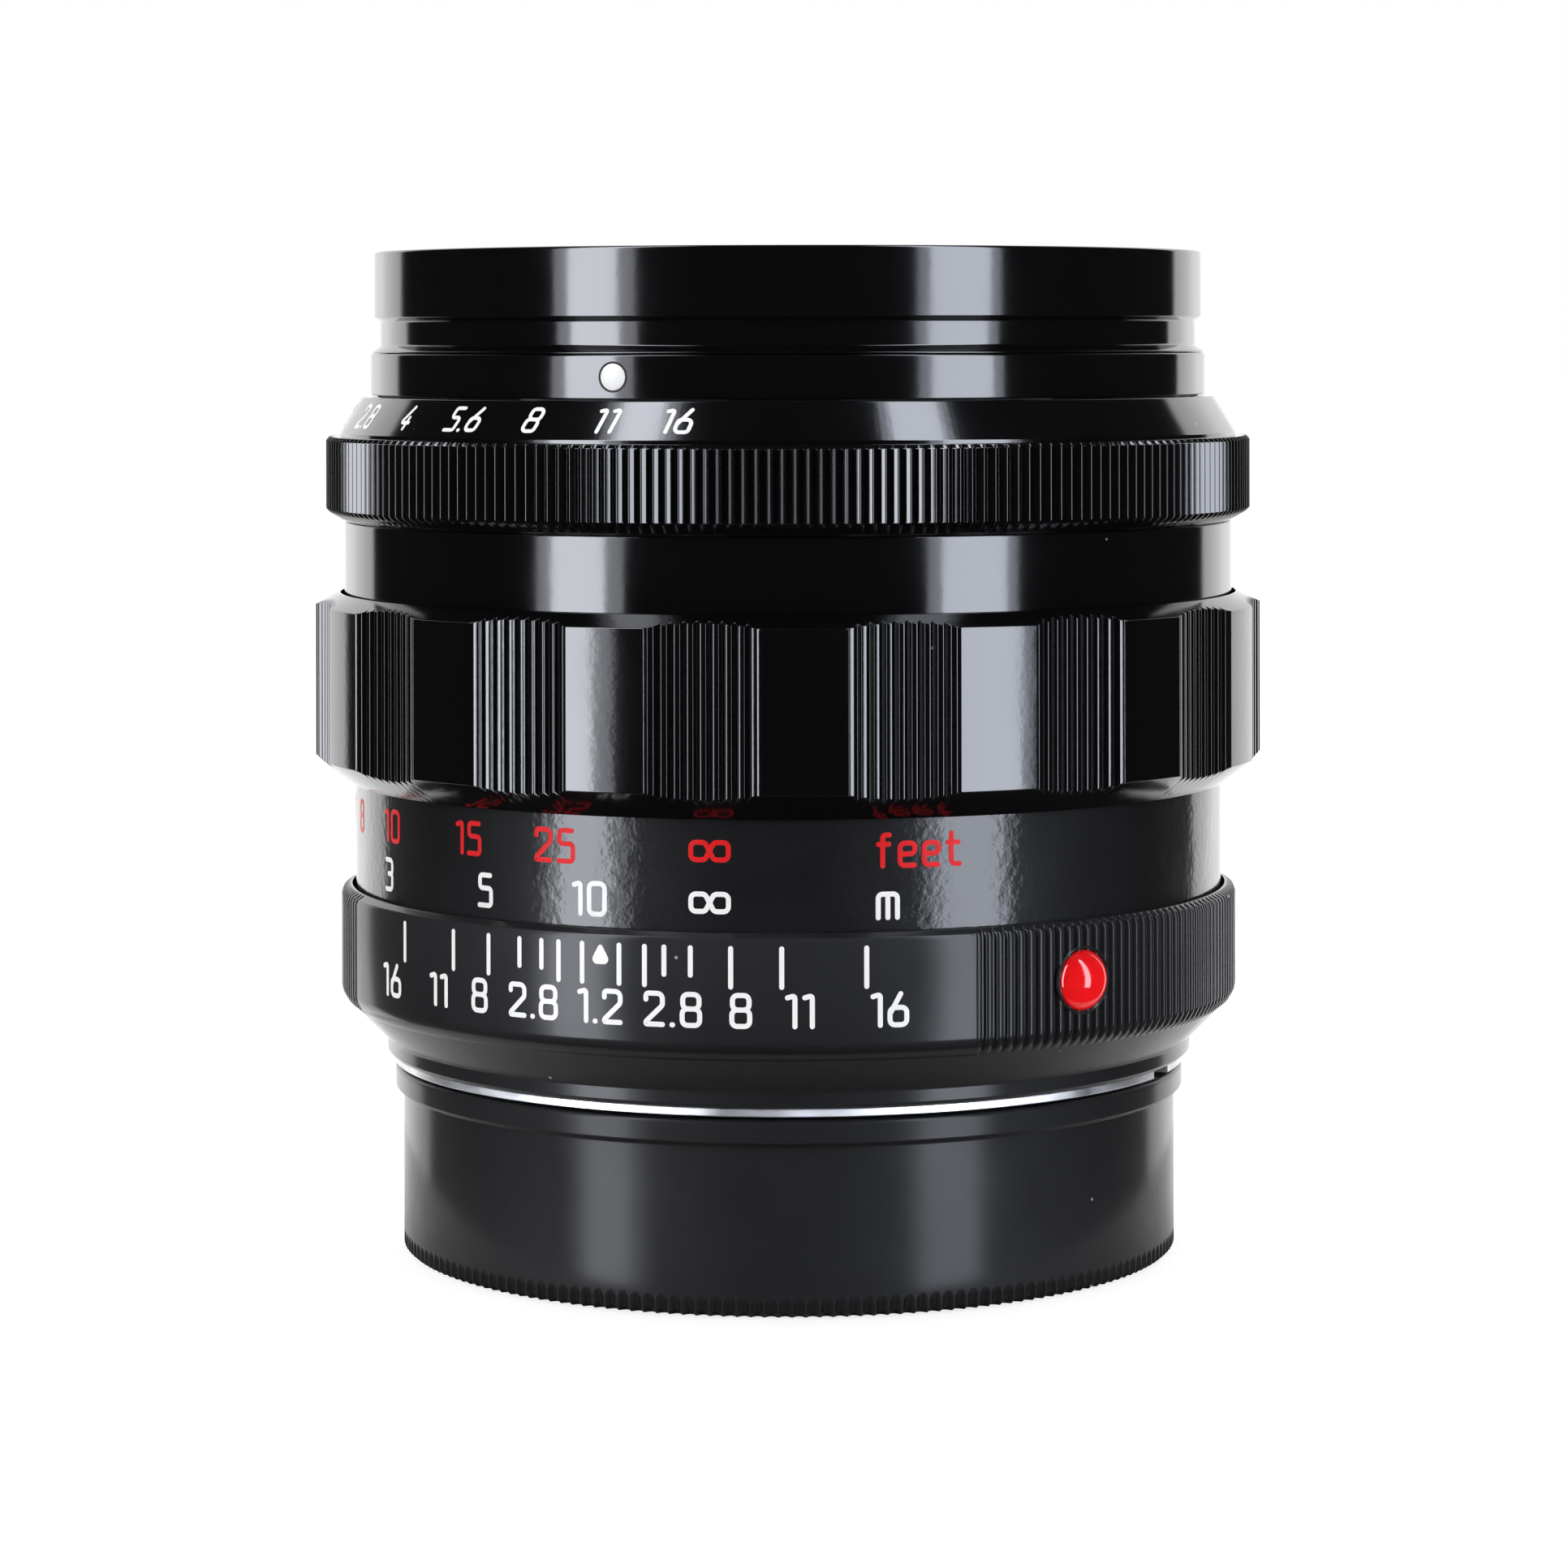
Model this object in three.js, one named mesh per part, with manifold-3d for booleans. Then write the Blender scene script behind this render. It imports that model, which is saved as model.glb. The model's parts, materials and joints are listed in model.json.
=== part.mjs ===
// A fast 50 mm prime lens standing on its rear cap, in millimetres.
// +Z runs along the optical axis from the cap to the front rim, and the origin is the centre of the cap's base.
// Azimuths are in degrees from -Y, where the focus and aperture index lies, turning towards +X.
import * as THREE from "three";
import { mergeVertices } from "three/addons/utils/BufferGeometryUtils.js";
import Module from "manifold-3d";

const wasm = await Module();
wasm.setup();

// Clearances
const RUNNING_GAP = 0.25;
const SEATED_GAP = 0.1;
const GLASS_GAP = 0.2;
const FACE_GAP = 0.05;
const SLIDING_FACE_GAP = 0.15;
const CUT_OVERRUN = 1; // how far a cutting solid reaches past what it cuts

// Motion, in degrees unless said otherwise
const FOCUS_REST = 13.1;
const APERTURE_CLOSING = 9.2;
const APERTURE_OPENING = 83;
const FOCUS_LEAD = 5.98; // mm that the head travels in one full turn

// Rear glass, its cell and the rangefinder cam round it
const LAST_GLASS_RADIUS = 15.4;
const REAR_CELL_WALL = 1.4;
const CAM_TUBE_WALL = 1.05;
const CAM_TUBE_CLEARANCE = 0.35;
const CAM_TUBE_RECESS = 0.5;

// Bayonet flange
const COLLAR_WALL = 1.7;
const COLLAR_LENGTH = 5.6;
const LUG_COUNT = 4;
const LUG_REACH = 1.7;
const LUG_THICKNESS = 1.3;
const LUG_SPAN = 34;
const FLANGE_EDGE_THICKNESS = 0.5;
const FLANGE_STEP_THICKNESS = 1;
const FLANGE_OVERHANG = 0.1;
const NOTCH_WIDTH = 2.6;
const NOTCH_DEPTH = 1.1;
const NOTCH_AZIMUTH = 89;

// Rear cap
const CAP_HEIGHT = 11.9;
const CAP_FLOOR = 1.5;
const CAP_CLEARANCE = 1.5;
const CAP_WALL = 1.48;
const CAP_RIM_STEP = 0.52;
const CAP_RIM_HEIGHT = 1.5;
const CAP_RIM_BEVEL = 0.13;
const CAP_TOP_GAP = 0.2;
const CAP_TOOTH_COUNT = 40;
const CAP_TOOTH_HEIGHT = 1.1;
const CAP_TOOTH_DEPTH = 0.35;
const CAP_LUG_THICKNESS = 1.2;
const CAP_LUG_OVERLAP = 1.3;
const CAP_LUG_CLEARANCE = 0.25;

// Mount barrel with the depth-of-field scale
const NECK_STEP = 0.42;
const NECK_WALL = 1;
const NECK_HEIGHT = 1;
const BARREL_HEIGHT = 10.75;
const BARREL_WALL = 0.64;
const BARREL_SHOULDER_HEIGHT = 4.35;
const BARREL_ROUND = 1.2;
const BARREL_LIP_CHAMFER = 0.5;
const SLEEVE_POCKET_DEPTH = 2.9;
const WEB_THICKNESS = 1.4;
const WEB_BORE_MARGIN = 0.3;
const PANEL_START = -47;
const PANEL_END = 45.4;
const BARREL_RIB_COUNT = 30;
const BARREL_RIB_DEPTH = 0.25;
const BEAD_RADIUS = 1.8;
const BEAD_PROUD = 1.1;
const BEAD_SEAT_DEPTH = 0.5;
const BEAD_AZIMUTH = 60.5;
const BEAD_BELOW_TOP = 3.55;

// Guide tube, key, helicoid and focus nut
const GUIDE_STEP = 1.2;
const GUIDE_WALL = 1.6;
const GUIDE_FOOT_THICKNESS = 1.2;
const GUIDE_SHORTFALL = 5.3;
const HELICOID_WALL = 1.5;
const HELICOID_FOOT_CLEARANCE = 1.2;
const HELICOID_FLANGE_THICKNESS = 1.1;
const NUT_WALL = 2.2;
const NUT_HEAD_CLEARANCE = 1.3;
const KEY_WIDTH = 3;
const KEY_LENGTH = 6;
const KEY_SIDE_CLEARANCE = 0.25;
const KEY_AZIMUTH = 180;

// Focus ring and distance-scale sleeve
const SLEEVE_WALL = 0.67;
const SLEEVE_FLANGE_THICKNESS = 1.3;
const SLEEVE_ENGAGEMENT = 3.95;
const RETAINER_THICKNESS = 1;
const SCALE_SHOWN = 6.65;
const FOCUS_RING_HEIGHT = 12.07;
const FOCUS_RING_WALL = 1.59;
const FOCUS_TOP_CHAMFER = 0.74;
const FOCUS_TOP_EDGE = 0.14;
const FOCUS_BOTTOM_CHAMFER = 1.65;
const FOCUS_BOTTOM_EDGE = 0.2;
const SCALLOP_COUNT = 16;
const SCALLOP_SPAN = 12.9;
const SCALLOP_DEPTH = 0.55;
const FLUTES_PER_SCALLOP = 5;
const FLUTE_DEPTH = 0.24;

// Head: barrel, tube and rings
const HEAD_BARREL_STEP = 0.69;
const HEAD_BARREL_WALL = 0.56;
const HEAD_BARREL_SHOWN = 4.58;
const HEAD_BARREL_SKIRT = 9.7;
const HEAD_WEB_THICKNESS = 3.2;
const LENS_TUBE_WALL = 1.05;
const TUBE_RECESS = 0.2;
const APERTURE_RING_HEIGHT = 7.8;
const APERTURE_BAND_WALL = 3.28;
const APERTURE_BAND_HEIGHT = 4.8;
const APERTURE_FOOT_HEIGHT = 0.45;
const APERTURE_FOOT_STEP = 0.93;
const APERTURE_BAND_CHAMFER = 0.25;
const APERTURE_CONE_FOOT_WALL = 2.4;
const APERTURE_CONE_TOP_WALL = 1;
const APERTURE_RIB_COUNT = 45;
const APERTURE_RIB_DEPTH = 0.38;
const INDEX_RING_HEIGHT = 2.66;
const INDEX_RING_WALL = 0.59;
const INDEX_DOT_RADIUS = 0.8;
const INDEX_DOT_SEAT_DEPTH = 0.3;
const INDEX_DOT_PROUD = 0.02;
const FILTER_RING_HEIGHT = 6.45;
const FILTER_RING_WALL = 2.26;
const FILTER_TUBE_STEP = 0.75;
const FILTER_RIM_HEIGHT = 4.19;
const FILTER_RIM_CHAMFER = 0.3;
const HOOD_GROOVE_DEPTH = 0.39;
const HOOD_GROOVE_WIDTH = 1.45;
const LINK_PIN_RADIUS = 0.7;
const LINK_PIN_ABOVE_FOOT = 3.65;
const LINK_PIN_AZIMUTH = 100;
const LINK_PIN_BITE = 1.6;
const CLICK_BALL_RADIUS = 0.75;
const CLICK_AZIMUTH = 200;
const CLICK_SPRING_LENGTH = 1.1;
const CLICK_SPRING_WALL = 0.25;

// Iris
const BLADE_COUNT = 10;
const IRIS_OPEN_RADIUS = 14;
const IRIS_CLOSED_RADIUS = 1.4;
const BLADE_OVERLAP = 0.2;
const BLADE_WIDTH = 6.7;
const BLADE_THICKNESS = 0.12;
const BLADE_PITCH = 0.24;
const BLADE_SPAN = 96;
const CAM_SLOT_OVERRUN = 1.5; // degrees that a slot runs on past each end of the pin's travel
const PIVOT_OUTSET = 1.4;
const DRIVE_PIN_OUTSET = 2.7;
const DRIVE_PIN_LEAD = 17.3;
const IRIS_PIN_RADIUS = 0.3;
const IRIS_PIN_CLEARANCE = 0.15;
const IRIS_TAB_RADIUS = 0.75;
const IRIS_PLATE_THICKNESS = 0.8;
const IRIS_PIN_DEPTH = 0.6;
const IRIS_LAYER_GAP = 0.2;
const CAM_PLATE_THICKNESS = 1;
const CAM_PLATE_BELOW_SHOULDER = 4.4;
const CAM_COLLAR_WALL = 0.7;
const CAM_COLLAR_MARGIN = 0.25;
const CAM_COLLAR_ABOVE_PIN = 1.2;

// Glass: radii of curvature, centre thicknesses and edge radii
const FRONT_GLASS_CURVE = 48;
const FRONT_GLASS_BACK_CURVE = 150;
const FRONT_GLASS_THICKNESS = 4.6;
const FRONT_AIR = 0.5;
const SECOND_GLASS_CURVE = 38;
const SECOND_GLASS_THICKNESS = 4.6;
const SECOND_GLASS_RADIUS = 17.2;
const THIRD_GLASS_THICKNESS = 1.4;
const IRIS_FRONT_CURVE = 24;
const IRIS_FRONT_CLEAR_RADIUS = 12.9;
const IRIS_REAR_CURVE = 22;
const IRIS_REAR_CLEAR_RADIUS = 12.5;
const FOURTH_GLASS_THICKNESS = 1.4;
const FIFTH_GLASS_THICKNESS = 7;
const FIFTH_GLASS_CURVE = 28;
const FIFTH_GLASS_RADIUS = 16;
const REAR_AIR = 1;
const LAST_GLASS_CURVE = 60;
const LAST_GLASS_THICKNESS = 5.5;

// Cells and their rings
const FRONT_CELL_WALL = 2.1;
const FRONT_CELL_LIP = 0.95;
const FRONT_CELL_FLANGE_LENGTH = 3.5;
const FRONT_CELL_FLANGE_GAP = 0.5;
const BEZEL_CONE_DROP = 0.3;
const BEZEL_FACE_WIDTH = 0.5;
const BEZEL_INNER_WALL = 0.65;
const SPACER_CLEARANCE = 0.65;
const SPACER_BEVEL = 2;
const CELL_FLANGE_THICKNESS = 1.1;
const DOUBLET_RING_THICKNESS = 0.85;
const DOUBLET_RING_WALL = 2.4;
const REAR_RING_LENGTH = 3.4;
const REAR_RING_WALL = 1.2;
const REAR_CELL_OVERHANG = 4.3;
const REAR_CELL_STEP = 1;
const REAR_SHOULDER_WALL = 1.2;

// Flange screws
const SCREW_COUNT = 4;
const SCREW_HEAD_RADIUS = 1.2;
const SCREW_HEAD_HEIGHT = 0.8;
const SCREW_SHANK_RADIUS = 0.65;
const SCREW_FIRST_AZIMUTH = 45;

// Faces round a turned piece
const OUTER_FACES = 36;
const INNER_FACES = 24;
const FACES_PER_SCALLOP = 3;
const GLASS_FACES = 16;
const PIN_FACES = 6;
const SCREW_FACES = 8;
const BEAD_FACES = 12;
const DOME_STEPS = 4;
const PANEL_STEPS = 8;
const LUG_STEPS = 4;
const LINK_SLOT_STEPS = 10;
const CAM_SLOT_STEPS = 11;
const BLADE_EDGE_STEPS = 5;
const BLADE_TIP_STEPS = 4;
const BOSS_STEPS = 3;

// Radii, from the rear glass outwards
const lastBore = LAST_GLASS_RADIUS + GLASS_GAP;
const rearCellFoot = lastBore + REAR_CELL_WALL;
const camTubeBore = rearCellFoot + SEATED_GAP;
const camTubeRadius = camTubeBore + CAM_TUBE_WALL;
const collarBore = camTubeRadius + CAM_TUBE_CLEARANCE;
const collarRadius = collarBore + COLLAR_WALL;
const lugRadius = collarRadius + LUG_REACH;
const capBore = lugRadius + CAP_CLEARANCE;
const capRadius = capBore + CAP_WALL;
const capRimRadius = capRadius + CAP_RIM_STEP;
const flangeRadius = capRimRadius + FLANGE_OVERHANG;
const neckRadius = flangeRadius + NECK_STEP;
const guideBore = collarRadius + GUIDE_STEP;
const guideRadius = guideBore + GUIDE_WALL;
const helicoidBore = guideRadius + RUNNING_GAP;
const helicoidRadius = helicoidBore + HELICOID_WALL;
const nutBore = helicoidRadius + RUNNING_GAP;
const nutRadius = nutBore + NUT_WALL;
const sleeveBore = nutRadius + SEATED_GAP;
const sleeveRadius = sleeveBore + SLEEVE_WALL;
const barrelBore = sleeveRadius + RUNNING_GAP;
const barrelRadius = barrelBore + BARREL_WALL;
const hubRadius = helicoidRadius + NUT_WALL / 2 + RUNNING_GAP;

// Radii, from the iris outwards
const bladeInner = IRIS_OPEN_RADIUS + BLADE_OVERLAP;
const bladeOuter = bladeInner + BLADE_WIDTH;
const pivotRadius = bladeOuter + PIVOT_OUTSET;
const drivePinRadius = bladeOuter + DRIVE_PIN_OUTSET;
const camCollarBore = drivePinRadius + IRIS_PIN_RADIUS + IRIS_PIN_CLEARANCE + CAM_COLLAR_MARGIN;
const camCollarRadius = camCollarBore + CAM_COLLAR_WALL;
const tubeBore = camCollarRadius + RUNNING_GAP;
const tubeRadius = tubeBore + LENS_TUBE_WALL;
const apertureBore = tubeRadius + RUNNING_GAP;
const frontCellRadius = camCollarBore - RUNNING_GAP;
const frontGlassBore = frontCellRadius - FRONT_CELL_WALL;
const frontGlassRadius = frontGlassBore - GLASS_GAP;
const filterBore = tubeBore - FILTER_TUBE_STEP;
const filterRadius = filterBore + FILTER_RING_WALL;
const headBarrelRadius = sleeveRadius + HEAD_BARREL_STEP;
const focusBore = headBarrelRadius + RUNNING_GAP;
const focusRadius = focusBore + FOCUS_RING_WALL;

// Heights of the mount, from the cap's base upwards
const flangeFace = CAP_HEIGHT + CAP_TOP_GAP;
const collarFoot = flangeFace - COLLAR_LENGTH;
const flangeEdgeTop = flangeFace + FLANGE_EDGE_THICKNESS;
const flangeTop = flangeEdgeTop + FLANGE_STEP_THICKNESS;
const neckFoot = flangeEdgeTop + FACE_GAP;
const neckTop = neckFoot + NECK_HEIGHT;
const webFoot = flangeTop + FACE_GAP;
const webTop = webFoot + WEB_THICKNESS;
const guideFoot = webTop + FACE_GAP;
const guideFootTop = guideFoot + GUIDE_FOOT_THICKNESS;
const barrelTop = neckFoot + BARREL_HEIGHT;
const pocketFloor = barrelTop - SLEEVE_POCKET_DEPTH;
const sleeveFoot = pocketFloor + 2 * SLIDING_FACE_GAP;
const sleeveFlangeTop = sleeveFoot + SLEEVE_FLANGE_THICKNESS;
const hubTop = sleeveFlangeTop + FACE_GAP;
const retainerFoot = hubTop + SLIDING_FACE_GAP;
const retainerTop = retainerFoot + RETAINER_THICKNESS;
const nutFoot = retainerTop + 2 * SLIDING_FACE_GAP;
const focusFoot = barrelTop + SCALE_SHOWN;
const focusTop = focusFoot + FOCUS_RING_HEIGHT;

// Heights of the head with the lens set to its rest distance
const headTravelToInfinity = (FOCUS_LEAD * FOCUS_REST) / 360;
const shoulder = focusTop + HEAD_BARREL_SHOWN;
const apertureFoot = shoulder + SLIDING_FACE_GAP;
const apertureTop = apertureFoot + APERTURE_RING_HEIGHT;
const indexFoot = apertureTop + SLIDING_FACE_GAP - FACE_GAP;
const indexTop = indexFoot + INDEX_RING_HEIGHT;
const filterFoot = indexTop + FACE_GAP;
const rimTop = filterFoot + FILTER_RING_HEIGHT;
const tubeTop = indexTop - TUBE_RECESS;
const linkPinHeight = apertureFoot + LINK_PIN_ABOVE_FOOT;
const camCollarTop = linkPinHeight + CAM_COLLAR_ABOVE_PIN;
const camPlateTop = shoulder - CAM_PLATE_BELOW_SHOULDER;
const camPlateFoot = camPlateTop - CAM_PLATE_THICKNESS;
const bladeStackTop = camPlateFoot - IRIS_LAYER_GAP;
const bladeStackFoot = bladeStackTop - BLADE_COUNT * BLADE_PITCH;
const irisBaseTop = bladeStackFoot - IRIS_LAYER_GAP;
const irisBaseFoot = irisBaseTop - IRIS_PLATE_THICKNESS;
const helicoidTop = irisBaseFoot - FACE_GAP;
const tubeFoot = helicoidTop - HELICOID_FLANGE_THICKNESS;
const helicoidFlangeTop = tubeFoot - FACE_GAP;
const helicoidFlangeFoot = helicoidFlangeTop - HELICOID_FLANGE_THICKNESS;
const helicoidFoot = guideFootTop + HELICOID_FOOT_CLEARANCE;
const nutTop = helicoidFlangeFoot - NUT_HEAD_CLEARANCE;
const guideTop = helicoidFlangeFoot - GUIDE_SHORTFALL;

// Heights of the glass, away from the iris on both sides
const frontCellFoot = camPlateTop + 2 * SLIDING_FACE_GAP;
const thirdGlassRim = frontCellFoot + FRONT_CELL_LIP + FACE_GAP;
const thirdGlassBack = thirdGlassRim + sag(IRIS_FRONT_CURVE, IRIS_FRONT_CLEAR_RADIUS);
const secondGlassBack = thirdGlassBack + THIRD_GLASS_THICKNESS;
const secondGlassFront = secondGlassBack + SECOND_GLASS_THICKNESS;
const frontGlassBack = secondGlassFront + FRONT_AIR;
const frontGlassFront = frontGlassBack + FRONT_GLASS_THICKNESS;
const frontGlassEdge = frontGlassFront - sag(FRONT_GLASS_CURVE, frontGlassRadius);
const frontCellFlangeFoot = camCollarTop + FRONT_CELL_FLANGE_GAP;
const frontCellTop = frontCellFlangeFoot + FRONT_CELL_FLANGE_LENGTH;
const bezelTop = frontGlassFront + FRONT_AIR;
const rearCellTop = irisBaseFoot - SLIDING_FACE_GAP;
const fourthGlassRim = rearCellTop - DOUBLET_RING_THICKNESS - 2 * FACE_GAP;
const fourthGlassFront = fourthGlassRim - sag(IRIS_REAR_CURVE, IRIS_REAR_CLEAR_RADIUS);
const fifthGlassFront = fourthGlassFront - FOURTH_GLASS_THICKNESS;
const fifthGlassBack = fifthGlassFront - FIFTH_GLASS_THICKNESS;
const fifthGlassEdge = fifthGlassBack + sag(FIFTH_GLASS_CURVE, FIFTH_GLASS_RADIUS);
const lastGlassFront = fifthGlassBack - REAR_AIR;
const lastGlassBack = lastGlassFront - LAST_GLASS_THICKNESS;
const lastGlassSag = sag(LAST_GLASS_CURVE, LAST_GLASS_RADIUS);
const camTubeTop = lastGlassFront - lastGlassSag;
const rearCellFootHeight = lastGlassBack + lastGlassSag - REAR_CELL_OVERHANG;

// Iris travel: each blade swings about its pivot in step with the aperture ring.
const apertureTravel = APERTURE_OPENING + APERTURE_CLOSING;
const bladeSwing = 2 * degrees(Math.asin((bladeInner - IRIS_CLOSED_RADIUS) / (2 * pivotRadius)));
const bladeRatio = bladeSwing / apertureTravel;
const bladePitchAngle = 360 / BLADE_COUNT;

function radians(angle) {
  return (angle * Math.PI) / 180;
}

function degrees(angle) {
  return (angle * 180) / Math.PI;
}

// Depth of a spherical surface of the given curvature at a distance from its axis.
function sag(curve, distance) {
  return curve - Math.sqrt(curve * curve - distance * distance);
}

function polar(radius, azimuth) {
  const angle = radians(azimuth);
  return new THREE.Vector2(radius * Math.sin(angle), -radius * Math.cos(angle));
}

function turnedPoint(point, centre, angle) {
  return point.clone().rotateAround(centre, radians(angle));
}

// A closed geometry as a solid that can be joined and cut.
function solidOf(geometry) {
  const bare = geometry.clone();
  bare.deleteAttribute("normal");
  bare.deleteAttribute("uv");
  const merged = mergeVertices(bare, 1e-4);
  const index = merged.index.array;
  const corners = [];
  for (let i = 0; i < index.length; i += 3) {
    const [a, b, c] = index.subarray(i, i + 3);
    if (a !== b && b !== c && c !== a) corners.push(a, b, c);
  }
  return new wasm.Manifold(
    new wasm.Mesh({
      numProp: 3,
      vertProperties: merged.attributes.position.array,
      triVerts: new Uint32Array(corners),
    }),
  );
}

// Solid of revolution about the optical axis; the outline holds [radius, height] pairs.
function turned(outline, faces) {
  const points = outline.map(([radius, height]) => new THREE.Vector2(radius, height));
  const closes = points[0].x > 0;
  if (THREE.ShapeUtils.area(points) < 0) points.reverse();
  if (closes) points.push(points[0].clone());
  const geometry = new THREE.LatheGeometry(points, faces);
  geometry.rotateX(Math.PI / 2);
  return solidOf(geometry);
}

function ring(inner, outer, foot, top, faces) {
  return turned([[inner, foot], [outer, foot], [outer, top], [inner, top]], faces);
}

// Straight-sided solid over a plan outline, from one height to another.
function prism(points, foot, top) {
  const geometry = new THREE.ExtrudeGeometry(new THREE.Shape(points), {
    depth: top - foot,
    bevelEnabled: false,
  });
  geometry.translate(0, 0, foot);
  return solidOf(geometry);
}

function arc(radius, from, to, steps) {
  return Array.from({ length: steps + 1 }, (_, i) => polar(radius, from + ((to - from) * i) / steps));
}

// Part of a ring between two azimuths.
function sector(inner, outer, from, to, foot, top, steps) {
  return prism([...arc(outer, from, to, steps), ...arc(inner, to, from, steps)], foot, top);
}

function upright(radius, centre, foot, top, faces = PIN_FACES) {
  const geometry = new THREE.CylinderGeometry(radius, radius, top - foot, faces);
  geometry.rotateX(Math.PI / 2);
  geometry.translate(centre.x, centre.y, (foot + top) / 2);
  return solidOf(geometry);
}

// Cylinder lying along a radius of the lens.
function radial(radius, from, to, azimuth, height, faces = PIN_FACES) {
  const geometry = new THREE.CylinderGeometry(radius, radius, to - from, faces);
  geometry.translate(0, -(from + to) / 2, 0);
  geometry.rotateZ(radians(azimuth));
  geometry.translate(0, 0, height);
  return solidOf(geometry);
}

// Half circle round a plan point, on the side away from the optical axis.
function boss(centre, radius, azimuth) {
  return Array.from({ length: BOSS_STEPS + 1 }, (_, i) => {
    return centre.clone().add(polar(radius, azimuth - 90 + (180 * i) / BOSS_STEPS));
  });
}

// Plan outline whose ridges and grooves alternate, with the radius at each given by a function.
function ribbed(count, from, to, ridge, groove) {
  const points = [];
  for (let i = 0; i < count; i += 1) {
    const start = from + ((to - from) * i) / count;
    points.push(polar(ridge, start));
    points.push(polar(groove, start + (to - from) / count / 2));
  }
  return points;
}

const looks = {
  blackEnamel: new THREE.MeshStandardMaterial({ color: 0x0b0b0c, roughness: 0.2, metalness: 0.3 }),
  satinBlack: new THREE.MeshStandardMaterial({ color: 0x1c1d1f, roughness: 0.45, metalness: 0.3 }),
  capPlastic: new THREE.MeshStandardMaterial({ color: 0x191a1c, roughness: 0.5, metalness: 0 }),
  chrome: new THREE.MeshStandardMaterial({ color: 0xd6d8da, roughness: 0.15, metalness: 1 }),
  brass: new THREE.MeshStandardMaterial({ color: 0xb08d4a, roughness: 0.35, metalness: 1 }),
  anodised: new THREE.MeshStandardMaterial({ color: 0x121314, roughness: 0.6, metalness: 0.4 }),
  steel: new THREE.MeshStandardMaterial({ color: 0x8c8f93, roughness: 0.35, metalness: 1 }),
  blade: new THREE.MeshStandardMaterial({ color: 0x2a2b2d, roughness: 0.5, metalness: 0.6 }),
  redBead: new THREE.MeshStandardMaterial({ color: 0xc4161a, roughness: 0.15, metalness: 0 }),
  whitePaint: new THREE.MeshStandardMaterial({ color: 0xf2f2f0, roughness: 0.5, metalness: 0 }),
  glass: new THREE.MeshStandardMaterial({
    color: 0xdfe6ee,
    roughness: 0.02,
    metalness: 0,
    transparent: true,
    opacity: 0.3,
  }),
};

function piece(group, name, solid, look) {
  const made = solid.getMesh();
  const geometry = new THREE.BufferGeometry();
  geometry.setAttribute("position", new THREE.BufferAttribute(made.vertProperties, 3));
  geometry.setIndex(new THREE.BufferAttribute(made.triVerts, 1));
  geometry.computeVertexNormals();
  const mesh = new THREE.Mesh(geometry, look);
  mesh.name = name;
  group.add(mesh);
  return mesh;
}

// Rear cap: a cup with a grip rim, teeth round its foot and lugs that hook over those of the lens.
function rearCap() {
  const rimFoot = CAP_HEIGHT - CAP_RIM_HEIGHT;
  const cup = turned(
    [
      [0, CAP_TOOTH_HEIGHT],
      [capRadius, CAP_TOOTH_HEIGHT],
      [capRadius, rimFoot],
      [capRimRadius, rimFoot + CAP_RIM_BEVEL],
      [capRimRadius, CAP_HEIGHT],
      [capBore, CAP_HEIGHT],
      [capBore, CAP_FLOOR],
      [0, CAP_FLOOR],
    ],
    OUTER_FACES,
  );
  const teeth = ribbed(CAP_TOOTH_COUNT, 0, 360, capRadius, capRadius - CAP_TOOTH_DEPTH);
  const foot = prism(teeth, 0, CAP_TOOTH_HEIGHT + FACE_GAP);
  const lugFoot = collarFoot + LUG_THICKNESS + CAP_LUG_CLEARANCE;
  let cap = cup.add(foot);
  for (let i = 0; i < LUG_COUNT; i += 1) {
    const middle = (360 * i) / LUG_COUNT;
    const inner = lugRadius - CAP_LUG_OVERLAP;
    const outer = capBore + CAP_WALL / 2;
    const half = LUG_SPAN / 2;
    const top = lugFoot + CAP_LUG_THICKNESS;
    cap = cap.add(sector(inner, outer, middle - half, middle + half, lugFoot, top, LUG_STEPS));
  }
  return cap;
}

const screwRadius = (collarRadius + helicoidRadius) / 2;
const headSeat = flangeFace + SCREW_HEAD_HEIGHT + 2 * FACE_GAP;

function screwCentre(i) {
  return polar(screwRadius, SCREW_FIRST_AZIMUTH + (360 * i) / SCREW_COUNT);
}

// Holes for the screws' shanks through the flange, the web and the guide tube's foot.
function withScrewHoles(solid) {
  const radius = SCREW_SHANK_RADIUS + RUNNING_GAP;
  for (let i = 0; i < SCREW_COUNT; i += 1) {
    const top = guideFootTop + CUT_OVERRUN;
    solid = solid.subtract(upright(radius, screwCentre(i), flangeFace - CUT_OVERRUN, top));
  }
  return solid;
}

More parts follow.
